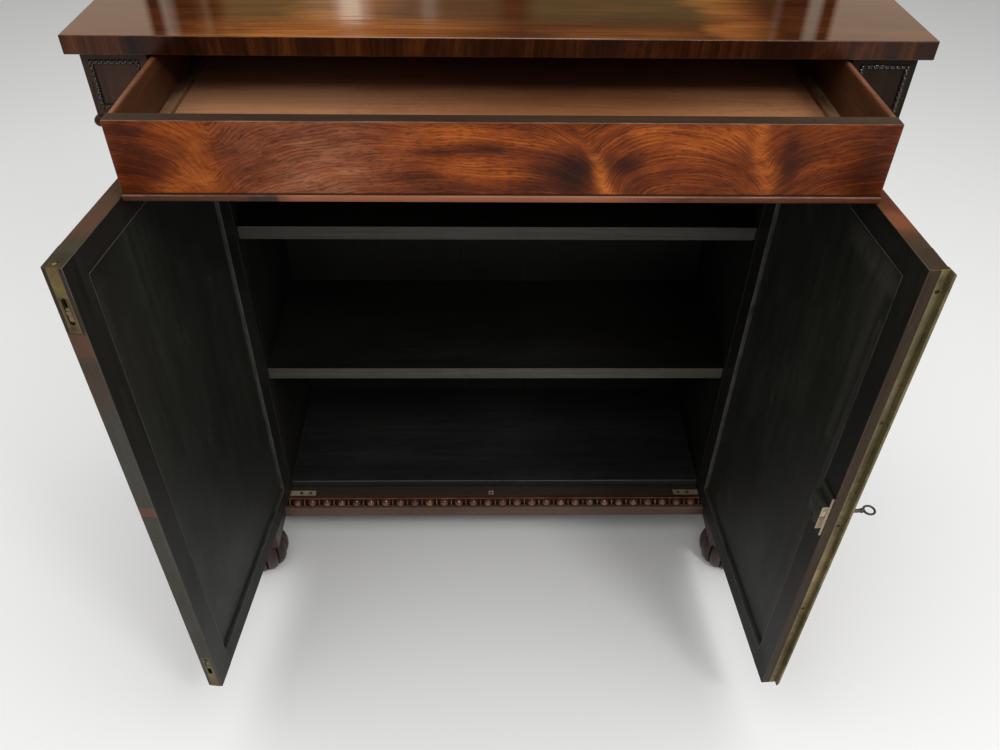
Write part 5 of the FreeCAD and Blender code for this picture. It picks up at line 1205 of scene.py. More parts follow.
# front face as a fine grid with rounded arrises, body behind it
bm = box_bm(lo, hi, 0.0009, 3)
front_face = max((f for f in bm.faces if axis_of(f.normal) == "-y"), key=lambda f: f.calc_area())
bmesh.ops.delete(bm, geom=[front_face], context="FACES_ONLY")
b = 0.0009
xs = [lo.x + b + (hi.x - lo.x - 2 * b) * i / NX for i in range(NX + 1)]
zs = [lo.z + b + (hi.z - lo.z - 2 * b) * j / NZ for j in range(NZ + 1)]
grid = [[bm.verts.new((x, lo.y, z)) for z in zs] for x in xs]
for i in range(NX):
    for j in range(NZ):
        bm.faces.new((grid[i][j], grid[i + 1][j], grid[i + 1][j + 1], grid[i][j + 1]))
bmesh.ops.remove_doubles(bm, verts=bm.verts, dist=1e-6)
# the arris next to the grid follows its points
border = [e for e in bm.edges if len(e.link_faces) == 1]
big = [e for e in border if e.calc_length() > 0.01]
for e in big:
    v1, v2 = e.verts
    k = 0 if abs(v1.co.x - v2.co.x) > abs(v1.co.z - v2.co.z) else 2
    along = xs[1:-1] if k == 0 else zs[1:-1]
    f = e.link_faces[0]
    loop = [l.vert for l in f.loops]
    inner = [v for v in bm.verts if v not in (v1, v2) and abs(v.co.y - lo.y) < 1e-7 and
             abs(v.co[2 - k] - v1.co[2 - k]) < 1e-7 and v1.co[k] - 1 < v.co[k] < v2.co[k] + 1]
    a, bb = sorted((v1, v2), key=lambda v: v.co[k])
    inner = sorted((v for v in inner if a.co[k] < v.co[k] < bb.co[k]), key=lambda v: v.co[k])
    i1, i2 = loop.index(v1), loop.index(v2)
    if (i1 + 1) % len(loop) == i2:
        start, seq = i1, inner if v1 is a else inner[::-1]
    else:
        start, seq = i2, inner if v2 is a else inner[::-1]
    new = loop[:start + 1] + seq + loop[start + 1:]
    mi = f.material_index
    bm.faces.remove(f)
    nf = bm.faces.new(new)
    nf.material_index = mi
bmesh.ops.delete(bm, geom=[e for e in bm.edges if not e.link_faces], context="EDGES")
bmesh.ops.recalc_face_normals(bm, faces=bm.faces)


def dfront_pick(c, n):
    a = axis_of(n)
    if a == "-y":
        return 0
    if a == "+z":
        return 1
    return 2


p = Piece("vis_drawer_front", [M_DRAWER, M_DRAWERTOP, M_DSIDE])
p.add(bm, None, "xzy", 0, (lo, hi), 0.0009, dfront_pick, fig=figure)
p.done("drawer", ["drawer_front"], "drawer_veneer")

lo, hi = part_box("drawer_bead")
y0, z0 = hi.y, lo.z
sec = [(0, 0), (0, 9.4), (-1.0, 9.4), (-1.0, 8.3), (-1.35, 8.0), (-1.75, 7.6), (-2.1, 6.9), (-2.35, 6.0), (-2.5, 4.9),
       (-2.5, 3.7), (-2.38, 2.5), (-2.1, 1.5), (-1.7, 0.75), (-1.2, 0.2), (-0.8, 0.0)]
bm = prism_bm([(y0 + a * MM, z0 + b * MM) for a, b in sec], lo.x, hi.x, "x", 0.0, 1)
cuts = [-0.40 + 0.01 * k for k in range(81)]
for cx in cuts:
    bmesh.ops.bisect_plane(bm, geom=bm.verts[:] + bm.edges[:] + bm.faces[:], plane_co=(cx, 0, 0), plane_no=(1, 0, 0))


def strip_edge(c):
    return 0.9 if c[1] < y0 - 0.0016 and c[2] > z0 + 0.0060 else 0.0


p = Piece("vis_drawer_bead", [M_DBEAD, M_DLINE])
p.add(bm, None, "xzy", 102, None, 0.001, lambda c, n: 1 if c.z > z0 + 0.0078 else 0, edge=strip_edge,
      fig=lambda c: (c[0], 0.0, c[2] - z0))
p.done("drawer", ["drawer_bead"], "drawer_veneer", 40.0)

for side, sg in (("left", -1), ("right", 1)):
    name = "drawer_side_" + side
    lo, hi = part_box(name)
    r = 0.0028
    pts = [(lo.x, lo.z), (hi.x, lo.z)]
    for k in range(0, 7):
        a = math.pi / 2 * k / 6
        pts.append((hi.x - r + r * math.cos(a), hi.z - r + r * math.sin(a)))
    for k in range(0, 7):
        a = math.pi / 2 + math.pi / 2 * k / 6
        pts.append((lo.x + r + r * math.cos(a), hi.z - r + r * math.sin(a)))
    bm = prism_bm(pts, lo.y, hi.y, "y")
    p = Piece("vis_" + name, [M_DSIDE, M_DSIDETOP])
    p.add(bm, None, "yzx", 105 + sg, None, 0.001, lambda c, n, z=hi.z: 1 if n.z > 0.35 and c.z > z - 0.004 else 0,
          edge=lambda c, z=hi.z: 0.6 if c[2] > z - 0.0006 else 0.0)
    p.done("drawer", [name], "drawer_lining", 40.0)
board("drawer_back", "drawer", "drawer_lining", [M_DSIDE], 0.0010, 3, "xzy", 108)
lo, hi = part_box("drawer_bottom")
bm = box_bm(lo, hi, 0.0005, 2)
for k in range(1, 80):
    bmesh.ops.bisect_plane(bm, geom=bm.verts[:] + bm.edges[:] + bm.faces[:],
                           plane_co=(lo.x + (hi.x - lo.x) * k / 80, 0, 0), plane_no=(1, 0, 0))
for k in range(1, 30):
    bmesh.ops.bisect_plane(bm, geom=bm.verts[:] + bm.edges[:] + bm.faces[:],
                           plane_co=(0, lo.y + (hi.y - lo.y) * k / 30, 0), plane_no=(0, 1, 0))
p = Piece("vis_drawer_bottom", [M_DBOTTOM])
p.add(bm, None, "xyz", 109, (lo, hi), 0.0005, None, fig=lambda c: (c[0], c[1], c[2]))
p.done("drawer", ["drawer_bottom"], "drawer_lining")
p = Piece("vis_drawer_slips", [M_SLIP])
lo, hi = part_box("drawer_slips")
for sg in (-1, 1):
    a, b2 = (lo.x, lo.x + 0.0125) if sg < 0 else (hi.x - 0.0125, hi.x)
    l2, h2 = (a, lo.y, lo.z), (b2, hi.y, hi.z)
    p.add(box_bm(l2, h2, 0.0018, 4, only=["+z +x" if sg < 0 else "+z -x"]), None, "yxz", 111 + sg, (l2, h2), 0.0018)
p.done("drawer", ["drawer_slips"], "drawer_lining")

# ------------------------------------------------------------------- doors ---
ML = (Matrix.Translation((-0.3972, 0.051, 0)) @ Matrix.Rotation(math.radians(-95.8), 4, "Z") @
      Matrix(((1, 0, 0, -0.0108), (0, -1, 0, 0.0108), (0, 0, 1, 0), (0, 0, 0, 1))))
MR = (Matrix.Translation((0.3972, 0.051, 0)) @ Matrix.Rotation(math.radians(93.8), 4, "Z") @
      Matrix(((-1, 0, 0, 0.0108), (0, -1, 0, 0.0108), (0, 0, 1, 0), (0, 0, 0, 1))))
W, T, Z0, Z1 = 0.4072, 0.0216, 0.1275, 0.9037
ST, RT, RB, V0, V1 = 0.039, 0.0335, 0.0375, 0.006, 0.015


def door_pick(c, n):
    """0 inside, 1 outside, 2 top, 3 free edge."""
    a = axis_of(n)
    if a == "-y":
        return 0
    if a == "+y":
        return 1 if c.y > 0.0155 else 0
    if a == "+z":
        return 2 if c.z > Z1 - 0.004 else 0
    if a == "+x":
        return 3 if c.x > W - 0.004 else 0
    if a == "-z":
        return 3 if c.z < Z0 + 0.004 else 0
    return 1


def slices(bm, upright, n=40):
    """Extra cuts, so that what is stored by place varies along the piece."""
    for k in range(1, n):
        if upright:
            at, no = (0, 0, Z0 + (Z1 - Z0) * k / n), (0, 0, 1)
        else:
            at, no = (W * k / n, 0, 0), (1, 0, 0)
        bmesh.ops.bisect_plane(bm, geom=bm.verts[:] + bm.edges[:] + bm.faces[:], plane_co=at, plane_no=no)
    return bm


def stopped(bm, x_in, sg):
    """Inner arrises of a stile stay square where the rails meet it."""
    for z in (Z0 + RB, Z0 + RB - 0.0012, Z1 - RT, Z1 - RT + 0.0012):
        bmesh.ops.bisect_plane(bm, geom=bm.verts[:] + bm.edges[:] + bm.faces[:], plane_co=(0, 0, z), plane_no=(0, 0, 1))
    for v in bm.verts:
        x, y, z = v.co
        if Z0 + RB - 0.0011 < z < Z1 - RT + 0.0011:
            continue
        if sg * (x - x_in) <= 0.00112 and sg * (x - x_in) > -1e-6:
            if y < 0.00112:
                v.co.x, v.co.y = x_in, 0.0 if y < 0.00105 else y
            elif y > T - 0.00112:
                v.co.x, v.co.y = x_in, T if y > T - 0.00105 else y
    bmesh.ops.remove_doubles(bm, verts=bm.verts[:], dist=2e-6)
    bmesh.ops.dissolve_degenerate(bm, edges=bm.edges[:], dist=2e-6)
    return bm


def stile_edge(x_in, x_out, round_out):
    """Wear of a stile: its arrises, but nothing at the joints with the rails."""
    def f(c):
        dx_in, dx_out = abs(c[0] - x_in), abs(c[0] - x_out)
        dy = min(c[1], T - c[1])
        dz = min(c[2] - Z0, Z1 - c[2])
        free = Z0 + RB - 0.0005 < c[2] < Z1 - RT + 0.0005
        near = [max(0.0, 1 - d / 0.0011) for d in (dx_out if round_out else 9.0, dy, dz, dx_in if free else 9.0)]
        near.sort()
        if near[2] < 0.02:
            return 0.0
        return min(1.0, 2.2 * near[3] * near[2])
    return f


def door(side, M):
    left = side == "left"
    body = side + "_door"
    node = body + "_frame"
    mats = [M_DOORIN_L if left else M_DOORIN_R, M_DOOROUT, M_DOORTOP_L if left else M_DOORTOP_R, M_DOORFREE_L if left else M_DOORFREE_R]
    place = (lambda c: (c[0], c[1], c[2]))
    p = Piece("vis_" + node, mats)
    seat = [box_bm((0.0026, 0.0047, Z0 - 0.01), (0.0690, 0.0169, Z0 + 0.0025), 0.0),
            box_bm((0.0026, 0.0047, Z1 - 0.0025), (0.0690, 0.0169, Z1 + 0.01), 0.0)]
    # hinge stile, half round about the pivot
    pts = [(ST, 0.0), (ST, T)]
    for k in range(0, 17):
        a = math.pi / 2 + math.pi * k / 16
        pts.append((0.0108 + 0.0108 * math.cos(a), 0.0108 + 0.0108 * math.sin(a)))
    bm = carved(prism_bm(pts, Z0, Z1, "z", 0.0011, 3, 50.0), seat)
    p.add(stopped(slices(bm, True), ST, -1), M, "zxy", 120 + left, None, 0.0011, door_pick,
          edge=lambda c, f=stile_edge(ST, -1.0, False): 0.55 * f(c), fig=place)
    # free stile
    tools = []
    if left:
        for z_end, s in ((Z1, -1), (Z0, 1)):
            def zr(a, b):
                return tuple(sorted((z_end + s * a, z_end + s * b)))
            z = zr(-0.01, 0.0801)
            tools.append(box_bm((W - 0.0020, 0.0043, z[0]), (W + 0.01, 0.0173, z[1]), 0.0))
            z = zr(-0.01, 0.0020)
            tools.append(box_bm((W - 0.0141, 0.0043, z[0]), (W + 0.01, 0.0173, z[1]), 0.0))
            z = zr(0.033, 0.0725)
            tools.append(box_bm((W - 0.0101, 0.0074, z[0]), (W - 0.0015, 0.0142, z[1]), 0.0))
    else:
        tools.append(box_bm((W - 0.0016, T - 0.0092, Z0 - 0.01), (W + 0.01, T + 0.01, Z1 + 0.01), 0.0))
        tools.append(lathe_bm([(0.0042, -0.002), (0.0042, T + 0.002)], 32, "y", (0.389, 0, 0.517)))
    lo2, hi2 = (W - ST, 0.0, Z0), (W, T, Z1)
    bm = box_bm(lo2, hi2, 0.0011, 3)
    bm = carved(bm, tools)
    p.add(stopped(slices(bm, True), W - ST, 1), M, "zxy", 123 + left, None, 0.0011, door_pick,
          edge=stile_edge(W - ST, W, True), fig=place)
    # rails
    for k, (za, zb, sk) in enumerate(((Z1 - RT, Z1, 1), (Z0, Z0 + RB, 0))):
        lo2, hi2 = (ST, 0.0, za), (W - ST, T, zb)
        bm = carved(box_bm(lo2, hi2, 0.0011, 3, only=["-y +z", "-y -z", "+y +z", "+y -z"]), [seat2_for(sk)])
        p.add(slices(bm, False, 12), M, "xzy", 127 + 2 * k + left, ((lo2[0] - 1, lo2[1], lo2[2]), (hi2[0] + 1, hi2[1], hi2[2])),
              0.0011, door_pick, fig=place)
    p.done(body, [node], "door_wood")
    # panel: a little play shows as a dark line in the groove
    lo2, hi2 = (ST - 0.0058, V0, Z0 + RB - 0.0058), (W - ST + 0.0058, V1, Z1 - RT + 0.0058)
    p = Piece("vis_" + body + "_panel", [M_PANEL_L if left else M_PANEL_R, M_DOOROUT])
    p.add(slices(box_bm(lo2, hi2, 0.0004, 1), True), M, "zxy", 133 + left, None, 0.001,
          lambda c, n: 1 if n.y > 0.5 else 0, fig=place)
    return p.done(body, [body + "_panel"], "door_panel_wood")


def seat2_for(top):
    if top:
        return box_bm((0.0026, 0.0047, Z1 - 0.0025), (0.0690, 0.0169, Z1 + 0.01), 0.0)
    return box_bm((0.0026, 0.0047, Z0 - 0.01), (0.0690, 0.0169, Z0 + 0.0025), 0.0)


door("left", ML)
door("right", MR)


# ------------------------------------------------------------------- brass ---
def screw_head(radius, depth=0.0008, slot=0.00055, turn=0.4):
    """Countersunk head, its face at height 0 looking to +Z, with a slot."""
    prof = [(0.0, 0.0), (radius * 0.93, 0.0), (radius, -0.00012), (radius * 0.55, -depth * 1.6), (0.0, -depth * 1.6)]
    bm = lathe_bm(prof, 32)
    t = box_bm((-radius * 1.2, -slot / 2, -depth * 0.7), (radius * 1.2, slot / 2, depth), 0.0)
    bmesh.ops.rotate(t, verts=t.verts, cent=(0, 0, 0), matrix=Matrix.Rotation(turn, 3, "Z"))
    return carved(bm, [t])


def frame_at(origin, normal, x_dir):
    n = Vector(normal).normalized()
    x = Vector(x_dir)
    x = (x - n * x.dot(n)).normalized()
    y = n.cross(x)
    m = Matrix.Identity(4)
    for i in range(3):
        m[i][0], m[i][1], m[i][2], m[i][3] = x[i], y[i], n[i], origin[i]
    return m


# flush bolt plates on the left door
p = Piece("vis_flush_bolt_plates", [M_BRASS, M_SCREW])
for z_end, s in ((Z1, -1), (Z0, 1)):
    def zr(a, b):
        return tuple(sorted((z_end + s * a, z_end + s * b)))
    za, zb = zr(0.0, 0.080)
    leg = box_bm((W - 0.002, 0.0044, za), (W, 0.0172, zb), 0.0003, 2)
    z = zr(0.0365, 0.070)
    # slot with round ends
    sl = []
    r = 0.0029
    for k in range(13):
        a = math.pi * k / 12
        sl.append((0.0108 + r * math.cos(a), max(z) - r + r * math.sin(a)))
    for k in range(13):
        a = math.pi + math.pi * k / 12
        sl.append((0.0108 + r * math.cos(a), min(z) + r + r * math.sin(a)))
    slot_tool = prism_bm(sl, W - 0.01, W + 0.01, "x")
    zc = z_end + s * 0.0752
    sink = lathe_bm([(0.0013, W - 0.01), (0.0013, W - 0.0016), (0.0029, W + 0.00002), (0.0029, W + 0.01)], 32, "x",
                    (0, 0.0108, zc))
    leg = carved(leg, [slot_tool, sink])
    for k in range(1, 24):
        bmesh.ops.bisect_plane(leg, geom=leg.verts[:] + leg.edges[:] + leg.faces[:],
                               plane_co=(0, 0, za + (zb - za) * k / 24), plane_no=(0, 0, 1))
    p.add(leg, ML, "zyx", 140 + s, ((W - 0.002, 0.0044, za), (W, 0.0172, zb)), 0.0006, fig=lambda c: (c[0], c[1], c[2]))
    # lips left standing round the slot and the screw
    lip = bmesh.new()
    rings = []
    for du, grow in ((-0.0006, 0.0010), (0.00022, 0.0008), (0.00022, 0.0002), (-0.0006, 0.0)):
        ring = []
        for cy, cz in sl:
            dz = cz - (max(z) - r) if cz > (max(z) + min(z)) / 2 else cz - (min(z) + r)
            ln = math.hypot(cy - 0.0108, dz) or 1.0
            ring.append(lip.verts.new((W + du, cy + grow * (cy - 0.0108) / ln, cz + grow * dz / ln)))
        rings.append(ring)
    for i in range(4):
        a, c2 = rings[i], rings[(i + 1) % 4]
        for k in range(len(a)):
            k2 = (k + 1) % len(a)
            lip.faces.new((a[k], a[k2], c2[k2], c2[k]))
    bmesh.ops.recalc_face_normals(lip, faces=lip.faces)
    p.add(lip, ML, "zyx", 146, None, 0.001, None, edge=lambda c: 1.0, fig=lambda c: (c[0], c[1], c[2]))
    for v0, v1 in ((0.0108 - 0.0031, 0.0108 - 0.0029), (0.0108 + 0.0029, 0.0108 + 0.0031)):
        zl = zr(0.0355, 0.071)
        p.add(box_bm((W - 0.0052, v0, zl[0]), (W - 0.0021, v1, zl[1]), 0.0), ML, "zyx", 147, fig=lambda c: (c[0], c[1], c[2]))
    zl = zr(0.0664, 0.0712)
    p.add(box_bm((W - 0.0034, 0.0108 - 0.0029, zl[0]), (W - 0.0026, 0.0108 + 0.0029, zl[1]), 0.0), ML, "zyx", 148, fig=lambda c: (c[0], c[1], c[2]))
    z = zr(0.0, 0.002)
    ret = box_bm((W - 0.014, 0.0044, z[0]), (W - 0.0021, 0.0172, z[1]), 0.0003, 2)
    hole = lathe_bm([(0.00256, z[0] - 0.01), (0.00256, z[1] + 0.01)], 32, "z", (W - 0.007, 0.0108, 0))
    p.add(carved(ret, [hole]), ML, "xyz", 142 + s, ((W - 0.014, 0.0044, z[0]), (W - 0.0021, 0.0172, z[1])), 0.0004,
          fig=lambda c: (c[0], c[1], c[2]))
    # countersunk screw at the end of the plate
    head = screw_head(0.0028, 0.0008, 0.0006, 0.5 * s)
    m = frame_at((W - 0.00015, 0.0108, zc), (1, 0, 0), (0, 1, 0))
    bmesh.ops.transform(head, matrix=m, verts=head.verts)
    p.add(head, ML, "xyz", 145, None, 0.001, lambda c, n: 1)
p.done("left_door", ["flush_bolt_plates"], "brass", 35.0)

for n, mat in (("top_bolt", M_BRASS_BOLT), ("bottom_bolt", M_BRASS_BOLT), ("bolt_keeps", M_BRASS_O),
               ("case_pivot_plates", M_BRASS_O), ("case_pivot_screws", M_SCREW_O), ("left_door_pivots", M_BRASS_O),
               ("right_door_pivots", M_BRASS_O), ("lock_bolt", M_STEEL_O)):
    NODES[n].data.materials.clear()
    NODES[n].data.materials.append(mat)

# brass strip on the right door, its screws
pts = [(W - 0.0016, T - 0.009), (W, T - 0.009), (W, T + 0.0004)]
for k in range(0, 33):
    a = math.pi * k / 32
    pts.append((W + 0.0066 * math.cos(a), T + 0.0004 + 0.0066 * math.sin(a)))
pts += [(W - 0.0066, T), (W - 0.0016, T)]
bm = prism_bm(pts, Z0 + 0.0003, Z1 - 0.0003, "z", 0.00035, 2, 60.0)
HEADS = (0.145, 0.328, 0.511, 0.694, 0.877)
tools = [lathe_bm([(0.0013, W - 0.01), (0.0013, W - 0.0016), (0.0029, W + 0.00002), (0.0029, W + 0.02)], 32, "x",
                  (0, T - 0.0046, z)) for z in HEADS]
bm = carved(bm, tools)
for v in bm.verts:          # the ends are filed back towards the outside
    if v.co.y > T + 0.0005:
        for end, sg in ((Z1 - 0.0003, 1), (Z0 + 0.0003, -1)):
            d = (end - v.co.z) * sg
            out = v.co.y - T - 0.0005
            if d < 0.0008:
                v.co.z -= sg * out * 0.75


def astr_edge(c):
    out = max(0.0, 1 - abs(math.hypot(c[0] - W, c[1] - T - 0.0004) - 0.0066) / 0.0005) if c[1] > T else 1.0
    tip = max(0.0, 1 - abs(c[2] - Z1 + 0.0003) / 0.0005) * out
    heel = max(0.0, 1 - abs(c[1] - T + 0.009) / 0.0006) if c[0] > W - 0.001 else 0.0
    return min(1.0, tip + heel)


for k in range(1, 60):
    bmesh.ops.bisect_plane(bm, geom=bm.verts[:] + bm.edges[:] + bm.faces[:],
                           plane_co=(0, 0, Z0 + (Z1 - Z0) * k / 60), plane_no=(0, 0, 1))
p = Piece("vis_astragal", [M_ASTRAGAL, M_ASTRBEAD])
p.add(bm, MR, "zxy", 150, None, 0.001, lambda c, n: 1 if c.y > T + 0.0002 or n.z > 0.9 else 0, edge=astr_edge,
      fig=lambda c: (c[0], c[1], c[2]))
p.done("right_door", ["astragal"], "brass", 35.0)
p = Piece("vis_astragal_screws", [M_SCREW])
for k, z in enumerate(HEADS):
    head = screw_head(0.0028, 0.0008, 0.0006, 0.7 * k)
    bmesh.ops.transform(head, matrix=frame_at((W - 0.0002, T - 0.0046, z), (1, 0, 0), (0, 1, 0)), verts=head.verts)
    p.add(head, MR, "xyz", 155 + k)
p.done("right_door", ["astragal_screws"], "brass_screw", 35.0)

# rim lock: plate, case with a lipped cap, rivets, screws
KZ, KU = 0.517, 0.389
p = Piece("vis_lock_case", [M_LOCK, M_LOCKFACE, M_SCREW, M_LOCKTOP])
key_hole = lathe_bm([(0.0030, -0.030), (0.0030, 0.010)], 24, "y", (KU, 0, KZ))
bolt_way = box_bm((W - 0.030, -0.0114, KZ + 0.0106), (W + 0.002, -0.0046, KZ + 0.0224), 0.0)
lo2, hi2 = (W - 0.036, -0.0035, KZ - 0.025), (W - 0.0017, 0.0, KZ + 0.045)


def lock_pick(c, n):
    if n.x > 0.5 and c.x > W - 0.003:
        return 1
    return 3 if n.z > 0.5 else 0


p.add(carved(box_bm(lo2, hi2, 0.0004, 2), [lathe_bm([(0.0030, -0.030), (0.0030, 0.010)], 24, "y", (KU, 0, KZ))]),
      MR, "zxy", 160, (lo2, hi2), 0.0005, lock_pick)
lo2, hi2 = (W - 0.034, -0.0120, KZ - 0.010), (W - 0.0017, -0.0035, KZ + 0.030)
p.add(carved(box_bm(lo2, hi2, 0.0006, 3), [bolt_way, key_hole]), MR, "zxy", 161, (lo2, hi2), 0.0007, lock_pick)
# raised edge of the cap
for a0, a1, b0, b1 in ((W - 0.0335, W - 0.0325, KZ - 0.0095, KZ + 0.0295),
                       (W - 0.0030, W - 0.0020, KZ - 0.0095, KZ + 0.0295),
                       (W - 0.0325, W - 0.0030, KZ - 0.0095, KZ - 0.0085),
                       (W - 0.0325, W - 0.0030, KZ + 0.0285, KZ + 0.0295)):
    l3, h3 = (a0, -0.01235, b0), (a1, -0.0119, b1)
    p.add(box_bm(l3, h3, 0.0002, 2), MR, "zxy", 162, (l3, h3), 0.0003)
for u, z in ((W - 0.0295, KZ - 0.0055), (W - 0.0060, KZ - 0.0055), (W - 0.0295, KZ + 0.0255), (W - 0.0060, KZ + 0.0255)):
    bm = lathe_bm([(0.0, 0.0), (0.0013, 0.0), (0.0013, 0.0004), (0.0010, 0.00065), (0.0005, 0.0008), (0.0, 0.00085)], 20)
    bmesh.ops.transform(bm, matrix=frame_at((u, -0.0120, z), (0, -1, 0), (1, 0, 0)), verts=bm.verts)
    p.add(bm, MR, "xyz", 163, None, 0.001, lambda c, n: 2)
for u, z in ((W - 0.0275, KZ + 0.0378), (W - 0.0100, KZ + 0.0378), (W - 0.0275, KZ - 0.0178), (W - 0.0100, KZ - 0.0178)):
    head = screw_head(0.0026, 0.0007, 0.0006, 40.0 * u)
    bmesh.ops.transform(head, matrix=frame_at((u, -0.00365, z), (0, -1, 0), (1, 0, 0)), verts=head.verts)
    p.add(head, MR, "xyz", 164, None, 0.001, lambda c, n: 2)
p.done("right_door", ["lock_case"], "lock_brass", 35.0)

# key
p = Piece("vis_key", [M_STEEL])
VB = T + 0.0424
prof = [(0.0, -0.0110), (0.0021, -0.0110), (0.0025, -0.0104)]
prof += [(0.0025, T + 0.0300), (0.0029, T + 0.0304), (0.0033, T + 0.0310), (0.0033, T + 0.0332), (0.0029, T + 0.0338),
         (0.0023, T + 0.0342), (0.0021, T + 0.0358), (0.0, T + 0.0358)]
p.add(lathe_bm(prof, 32, "y", (KU, 0, KZ)), MR, "yxz", 170)
bm = bmesh.new()
NR, NS = 72, 20
vs = []
for i in range(NR):
    a = 2 * math.pi * i / NR
    ring = []
    thick = 0.00145 * (1.0 + 0.12 * max(0.0, -math.sin(a)) ** 3)
    for j in range(NS):
        bb = 2 * math.pi * j / NS
        rr = 0.0071 + thick * math.cos(bb)
        ring.append(bm.verts.new((KU + rr * math.cos(a), VB + rr * math.sin(a), KZ + thick * math.sin(bb))))
    vs.append(ring)
for i in range(NR):
    for j in range(NS):
        bm.faces.new((vs[i][j], vs[(i + 1) % NR][j], vs[(i + 1) % NR][(j + 1) % NS], vs[i][(j + 1) % NS]))
bmesh.ops.recalc_face_normals(bm, faces=bm.faces)
p.add(bm, MR, "xyz", 171)
lo2, hi2 = (KU + 0.0015, -0.0106, KZ - 0.001), (KU + 0.0074, -0.0054, KZ + 0.001)
ward = box_bm((KU + 0.0045, -0.0084, KZ - 0.01), (KU + 0.01, -0.0076, KZ + 0.01), 0.0)
p.add(carved(box_bm(lo2, hi2, 0.0002, 2), [ward]), MR, "xyz", 172, (lo2, hi2), 0.0003)
p.done("key", ["key"], "key_steel", 40.0)

# escutcheon: dished ring
p = Piece("vis_escutcheon", [M_BRASS])
prof = [(0.0034, T), (0.0034, T + 0.0008), (0.0040, T + 0.0012), (0.0050, T + 0.0010), (0.0064, T + 0.0010),
        (0.0073, T + 0.0012), (0.0079, T + 0.0008), (0.0080, T), (0.0034, T)]
bm = bmesh.new()
rings = []
for r, v in prof[:-1]:
    rings.append([bm.verts.new((KU + r * math.cos(2 * math.pi * k / 48), v, KZ + r * math.sin(2 * math.pi * k / 48)))
                  for k in range(48)])
for i in range(len(rings)):
    a, b2 = rings[i], rings[(i + 1) % len(rings)]
    for k in range(48):
        k2 = (k + 1) % 48
        bm.faces.new((a[k], a[k2], b2[k2], b2[k]))
bmesh.ops.recalc_face_normals(bm, faces=bm.faces)
p.add(bm, MR, "xyz", 175)
p.done("right_door", ["escutcheon"], "brass", 50.0, False)

# ------------------------------------------------------------------- stage ---
t = Tree("floor")
fx = t.obj()
fc = t.noise(fx, 0.5, 3.0, 0.5)
t.principled(Base_Color=t.ramp(fc, [(0.3, (0.775, 0.795, 0.835)), (0.7, (0.79, 0.81, 0.85))]), Roughness=0.9,
             Specular_IOR_Level=0.1)
bm = bmesh.new()
s = 30.0
vs = [bm.verts.new((x, y, 0.0)) for x, y in ((-s, -s), (s, -s), (s, s), (-s, s))]
bm.faces.new(vs)
me = bpy.data.meshes.new("floor")
bm.to_mesh(me)
bm.free()
me.materials.append(t.mat)
floor = link(bpy.data.objects.new("floor", me))

world = bpy.data.worlds.new("world")
scene.world = world
world.use_nodes = True
bg = world.node_tree.nodes["Background"]
bg.inputs["Color"].default_value = (1.0, 0.97, 0.90, 1.0)
bg.inputs["Strength"].default_value = 0.34


def softbox(name, at, to, sx, sy, watts, colour=(1, 1, 1), glossy=True):
    d = bpy.data.lights.new(name, "AREA")
    d.shape = "RECTANGLE"
    d.size, d.size_y = sx, sy
    d.energy = watts
    d.color = colour
    o = link(bpy.data.objects.new(name, d))
    o.location = at
    o.rotation_euler = (Vector(to) - Vector(at)).to_track_quat("-Z", "Y").to_euler()
    o.visible_camera = False
    o.visible_glossy = glossy
    return o


softbox("ceiling", (0.0, -0.9, 3.6), (0, -0.9, 0.0), 5.6, 5.0, 190, (1.0, 0.975, 0.93), False)
softbox("key_light", (1.35, -1.9, 2.9), (0, 0, 0.5), 0.55, 0.55, 22, (1.0, 0.97, 0.92))


# gradient card behind the cabinet: only reflections see it
def glint():
    """A small lamp that only mirrors: it gives the beads their bright points."""
    t = Tree("glint")
    e = t.new("Emission")
    e.inputs["Color"].default_value = (1.0, 0.95, 0.88, 1.0)
    e.inputs["Strength"].default_value = 40.0
    t.nt.links.new(e.outputs[0], t.out.inputs["Surface"])
    bm = bmesh.new()
    at = Vector((0.75, -1.75, 1.95))
    n = (Vector((0.0, 0.0, 0.1)) - at).normalized()
    u = n.cross(Vector((0, 0, 1))).normalized()
    w = u.cross(n)
    bm.faces.new([bm.verts.new(at + u * a + w * b) for a, b in ((-0.21, -0.21), (0.21, -0.21), (0.21, 0.21), (-0.21, 0.21))])
    me = bpy.data.meshes.new("stage_glint")
    bm.to_mesh(me)
    bm.free()
    me.materials.append(t.mat)
    ob = link(bpy.data.objects.new("stage_glint", me))
    for k in ("camera", "diffuse", "transmission", "volume_scatter", "shadow"):
        setattr(ob, "visible_" + k, False)
    return ob


glint()


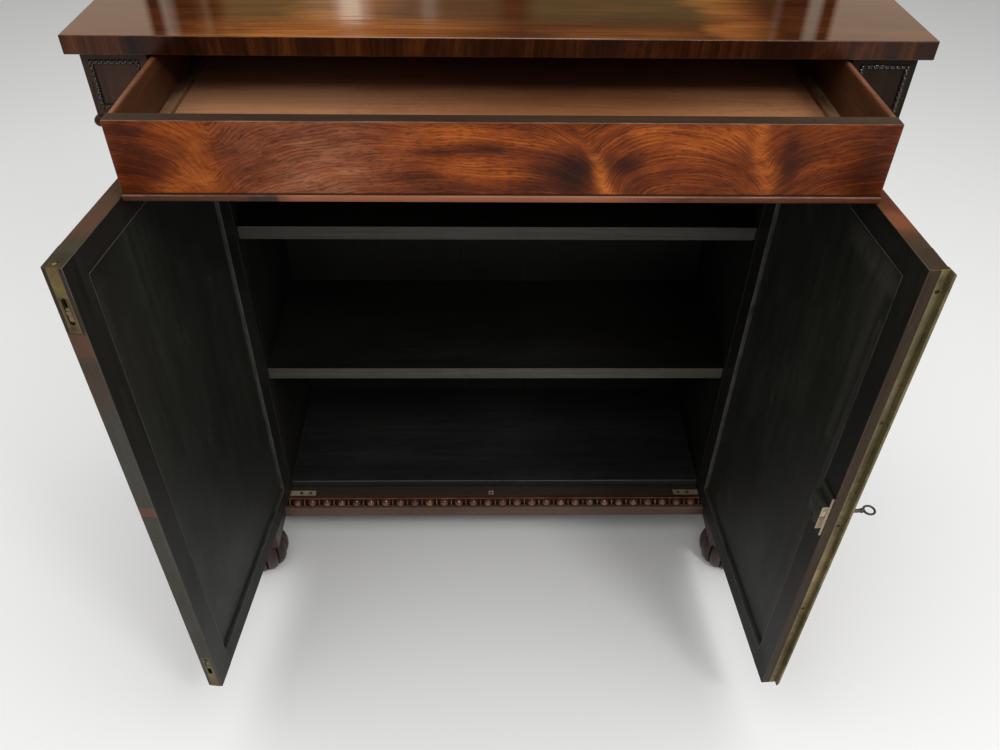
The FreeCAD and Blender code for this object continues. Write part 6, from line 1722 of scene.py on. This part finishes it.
def card():
    t = Tree("card")
    o = t.sep(t.obj())
    x, z = o[0], o[2]
    warm = (0.88, 0.68, 0.50)
    dark = (0.02, 0.012, 0.008)
    olive = (0.22, 0.21, 0.08)
    pale = (0.62, 0.52, 0.42)
    stops = [(-1.9, warm), (-0.7495, warm), (-0.747, dark), (-0.7165, dark), (-0.7145, pale),
             (-0.6985, pale), (-0.6965, dark), (-0.640, dark), (-0.634, (0.24, 0.18, 0.11)),
             (-0.622, (0.24, 0.18, 0.11)), (-0.616, dark), (-0.600, (0.03, 0.02, 0.010)), (-0.575, olive),
             (-0.42, (0.24, 0.22, 0.09)), (-0.355, (0.42, 0.36, 0.24)), (-0.336, (0.80, 0.73, 0.61)),
             (-0.322, (1.75, 1.55, 1.30)), (-0.293, (1.65, 1.45, 1.20)), (-0.280, (0.70, 0.62, 0.50)),
             (-0.255, (0.26, 0.21, 0.12)), (-0.165, (0.22, 0.18, 0.10)),
             (-0.155, (0.52, 0.44, 0.33)), (-0.128, (0.50, 0.42, 0.31)), (-0.115, (0.20, 0.16, 0.09)),
             (0.0, (0.16, 0.13, 0.07)), (0.03, (0.05, 0.035, 0.02)), (0.06, (0.05, 0.035, 0.02)),
             (0.10, (0.18, 0.19, 0.08)), (0.44, (0.18, 0.19, 0.08)), (0.49, (0.13, 0.10, 0.04)),
             (0.560, (0.05, 0.035, 0.02)), (0.612, (0.05, 0.035, 0.02)), (0.618, (0.17, 0.13, 0.09)),
             (0.630, (0.17, 0.13, 0.09)), (0.638, dark), (0.692, dark), (0.6945, (0.60, 0.52, 0.42)),
             (0.7215, (0.60, 0.52, 0.42)), (0.724, dark), (0.7525, dark)]
    # ramps hold 32 stops at most, so the row is split in two halves
    lo_x, hi_x = -1.9, 1.9

    def at(v):
        return (v - lo_x) / (hi_x - lo_x)
    u = t.span(x, lo_x, hi_x, 0.0, 1.0, False)
    left_c = t.ramp(u, [(at(a), c) for a, c in stops if a < -0.2] + [(at(-0.2), (0.22, 0.20, 0.14))])
    right_c = t.ramp(u, [(at(-0.2), (0.22, 0.20, 0.14))] + [(at(a), c) for a, c in stops if a > -0.2] +
                     [(at(0.755), (0.80, 0.62, 0.46)), (1.0, (0.80, 0.62, 0.46))])
    col = t.mix(t.math("GREATER_THAN", x, -0.2), left_c, right_c)
    # in the middle the card is darker higher up
    mid = t.mul(t.span(x, -0.60, -0.56), t.span(x, 0.60, 0.52))
    fade = t.mul(mid, t.span(z, 1.312, 1.345))
    col = t.mix(t.mul(fade, 0.9), col, (0.05, 0.04, 0.025))
    e = t.new("Emission")
    t.put(e.inputs["Color"], col)
    e.inputs["Strength"].default_value = 1.0
    t.nt.links.new(e.outputs[0], t.out.inputs["Surface"])
    b = bmesh.new()
    q = [b.verts.new(v) for v in ((-1.9, 0.9, 1.03), (1.9, 0.9, 1.03), (1.9, 0.9, 1.9), (-1.9, 0.9, 1.9))]
    b.faces.new(q)
    me = bpy.data.meshes.new("card")
    b.to_mesh(me)
    b.free()
    me.materials.append(t.mat)
    o = link(bpy.data.objects.new("card", me))
    o.visible_camera = False
    o.visible_diffuse = False
    o.visible_shadow = False
    o.visible_transmission = False
    o.visible_volume_scatter = False
    return o


card()
scene.view_settings.view_transform = "Standard"
scene.view_settings.look = "None"

bpy.context.view_layer.update()
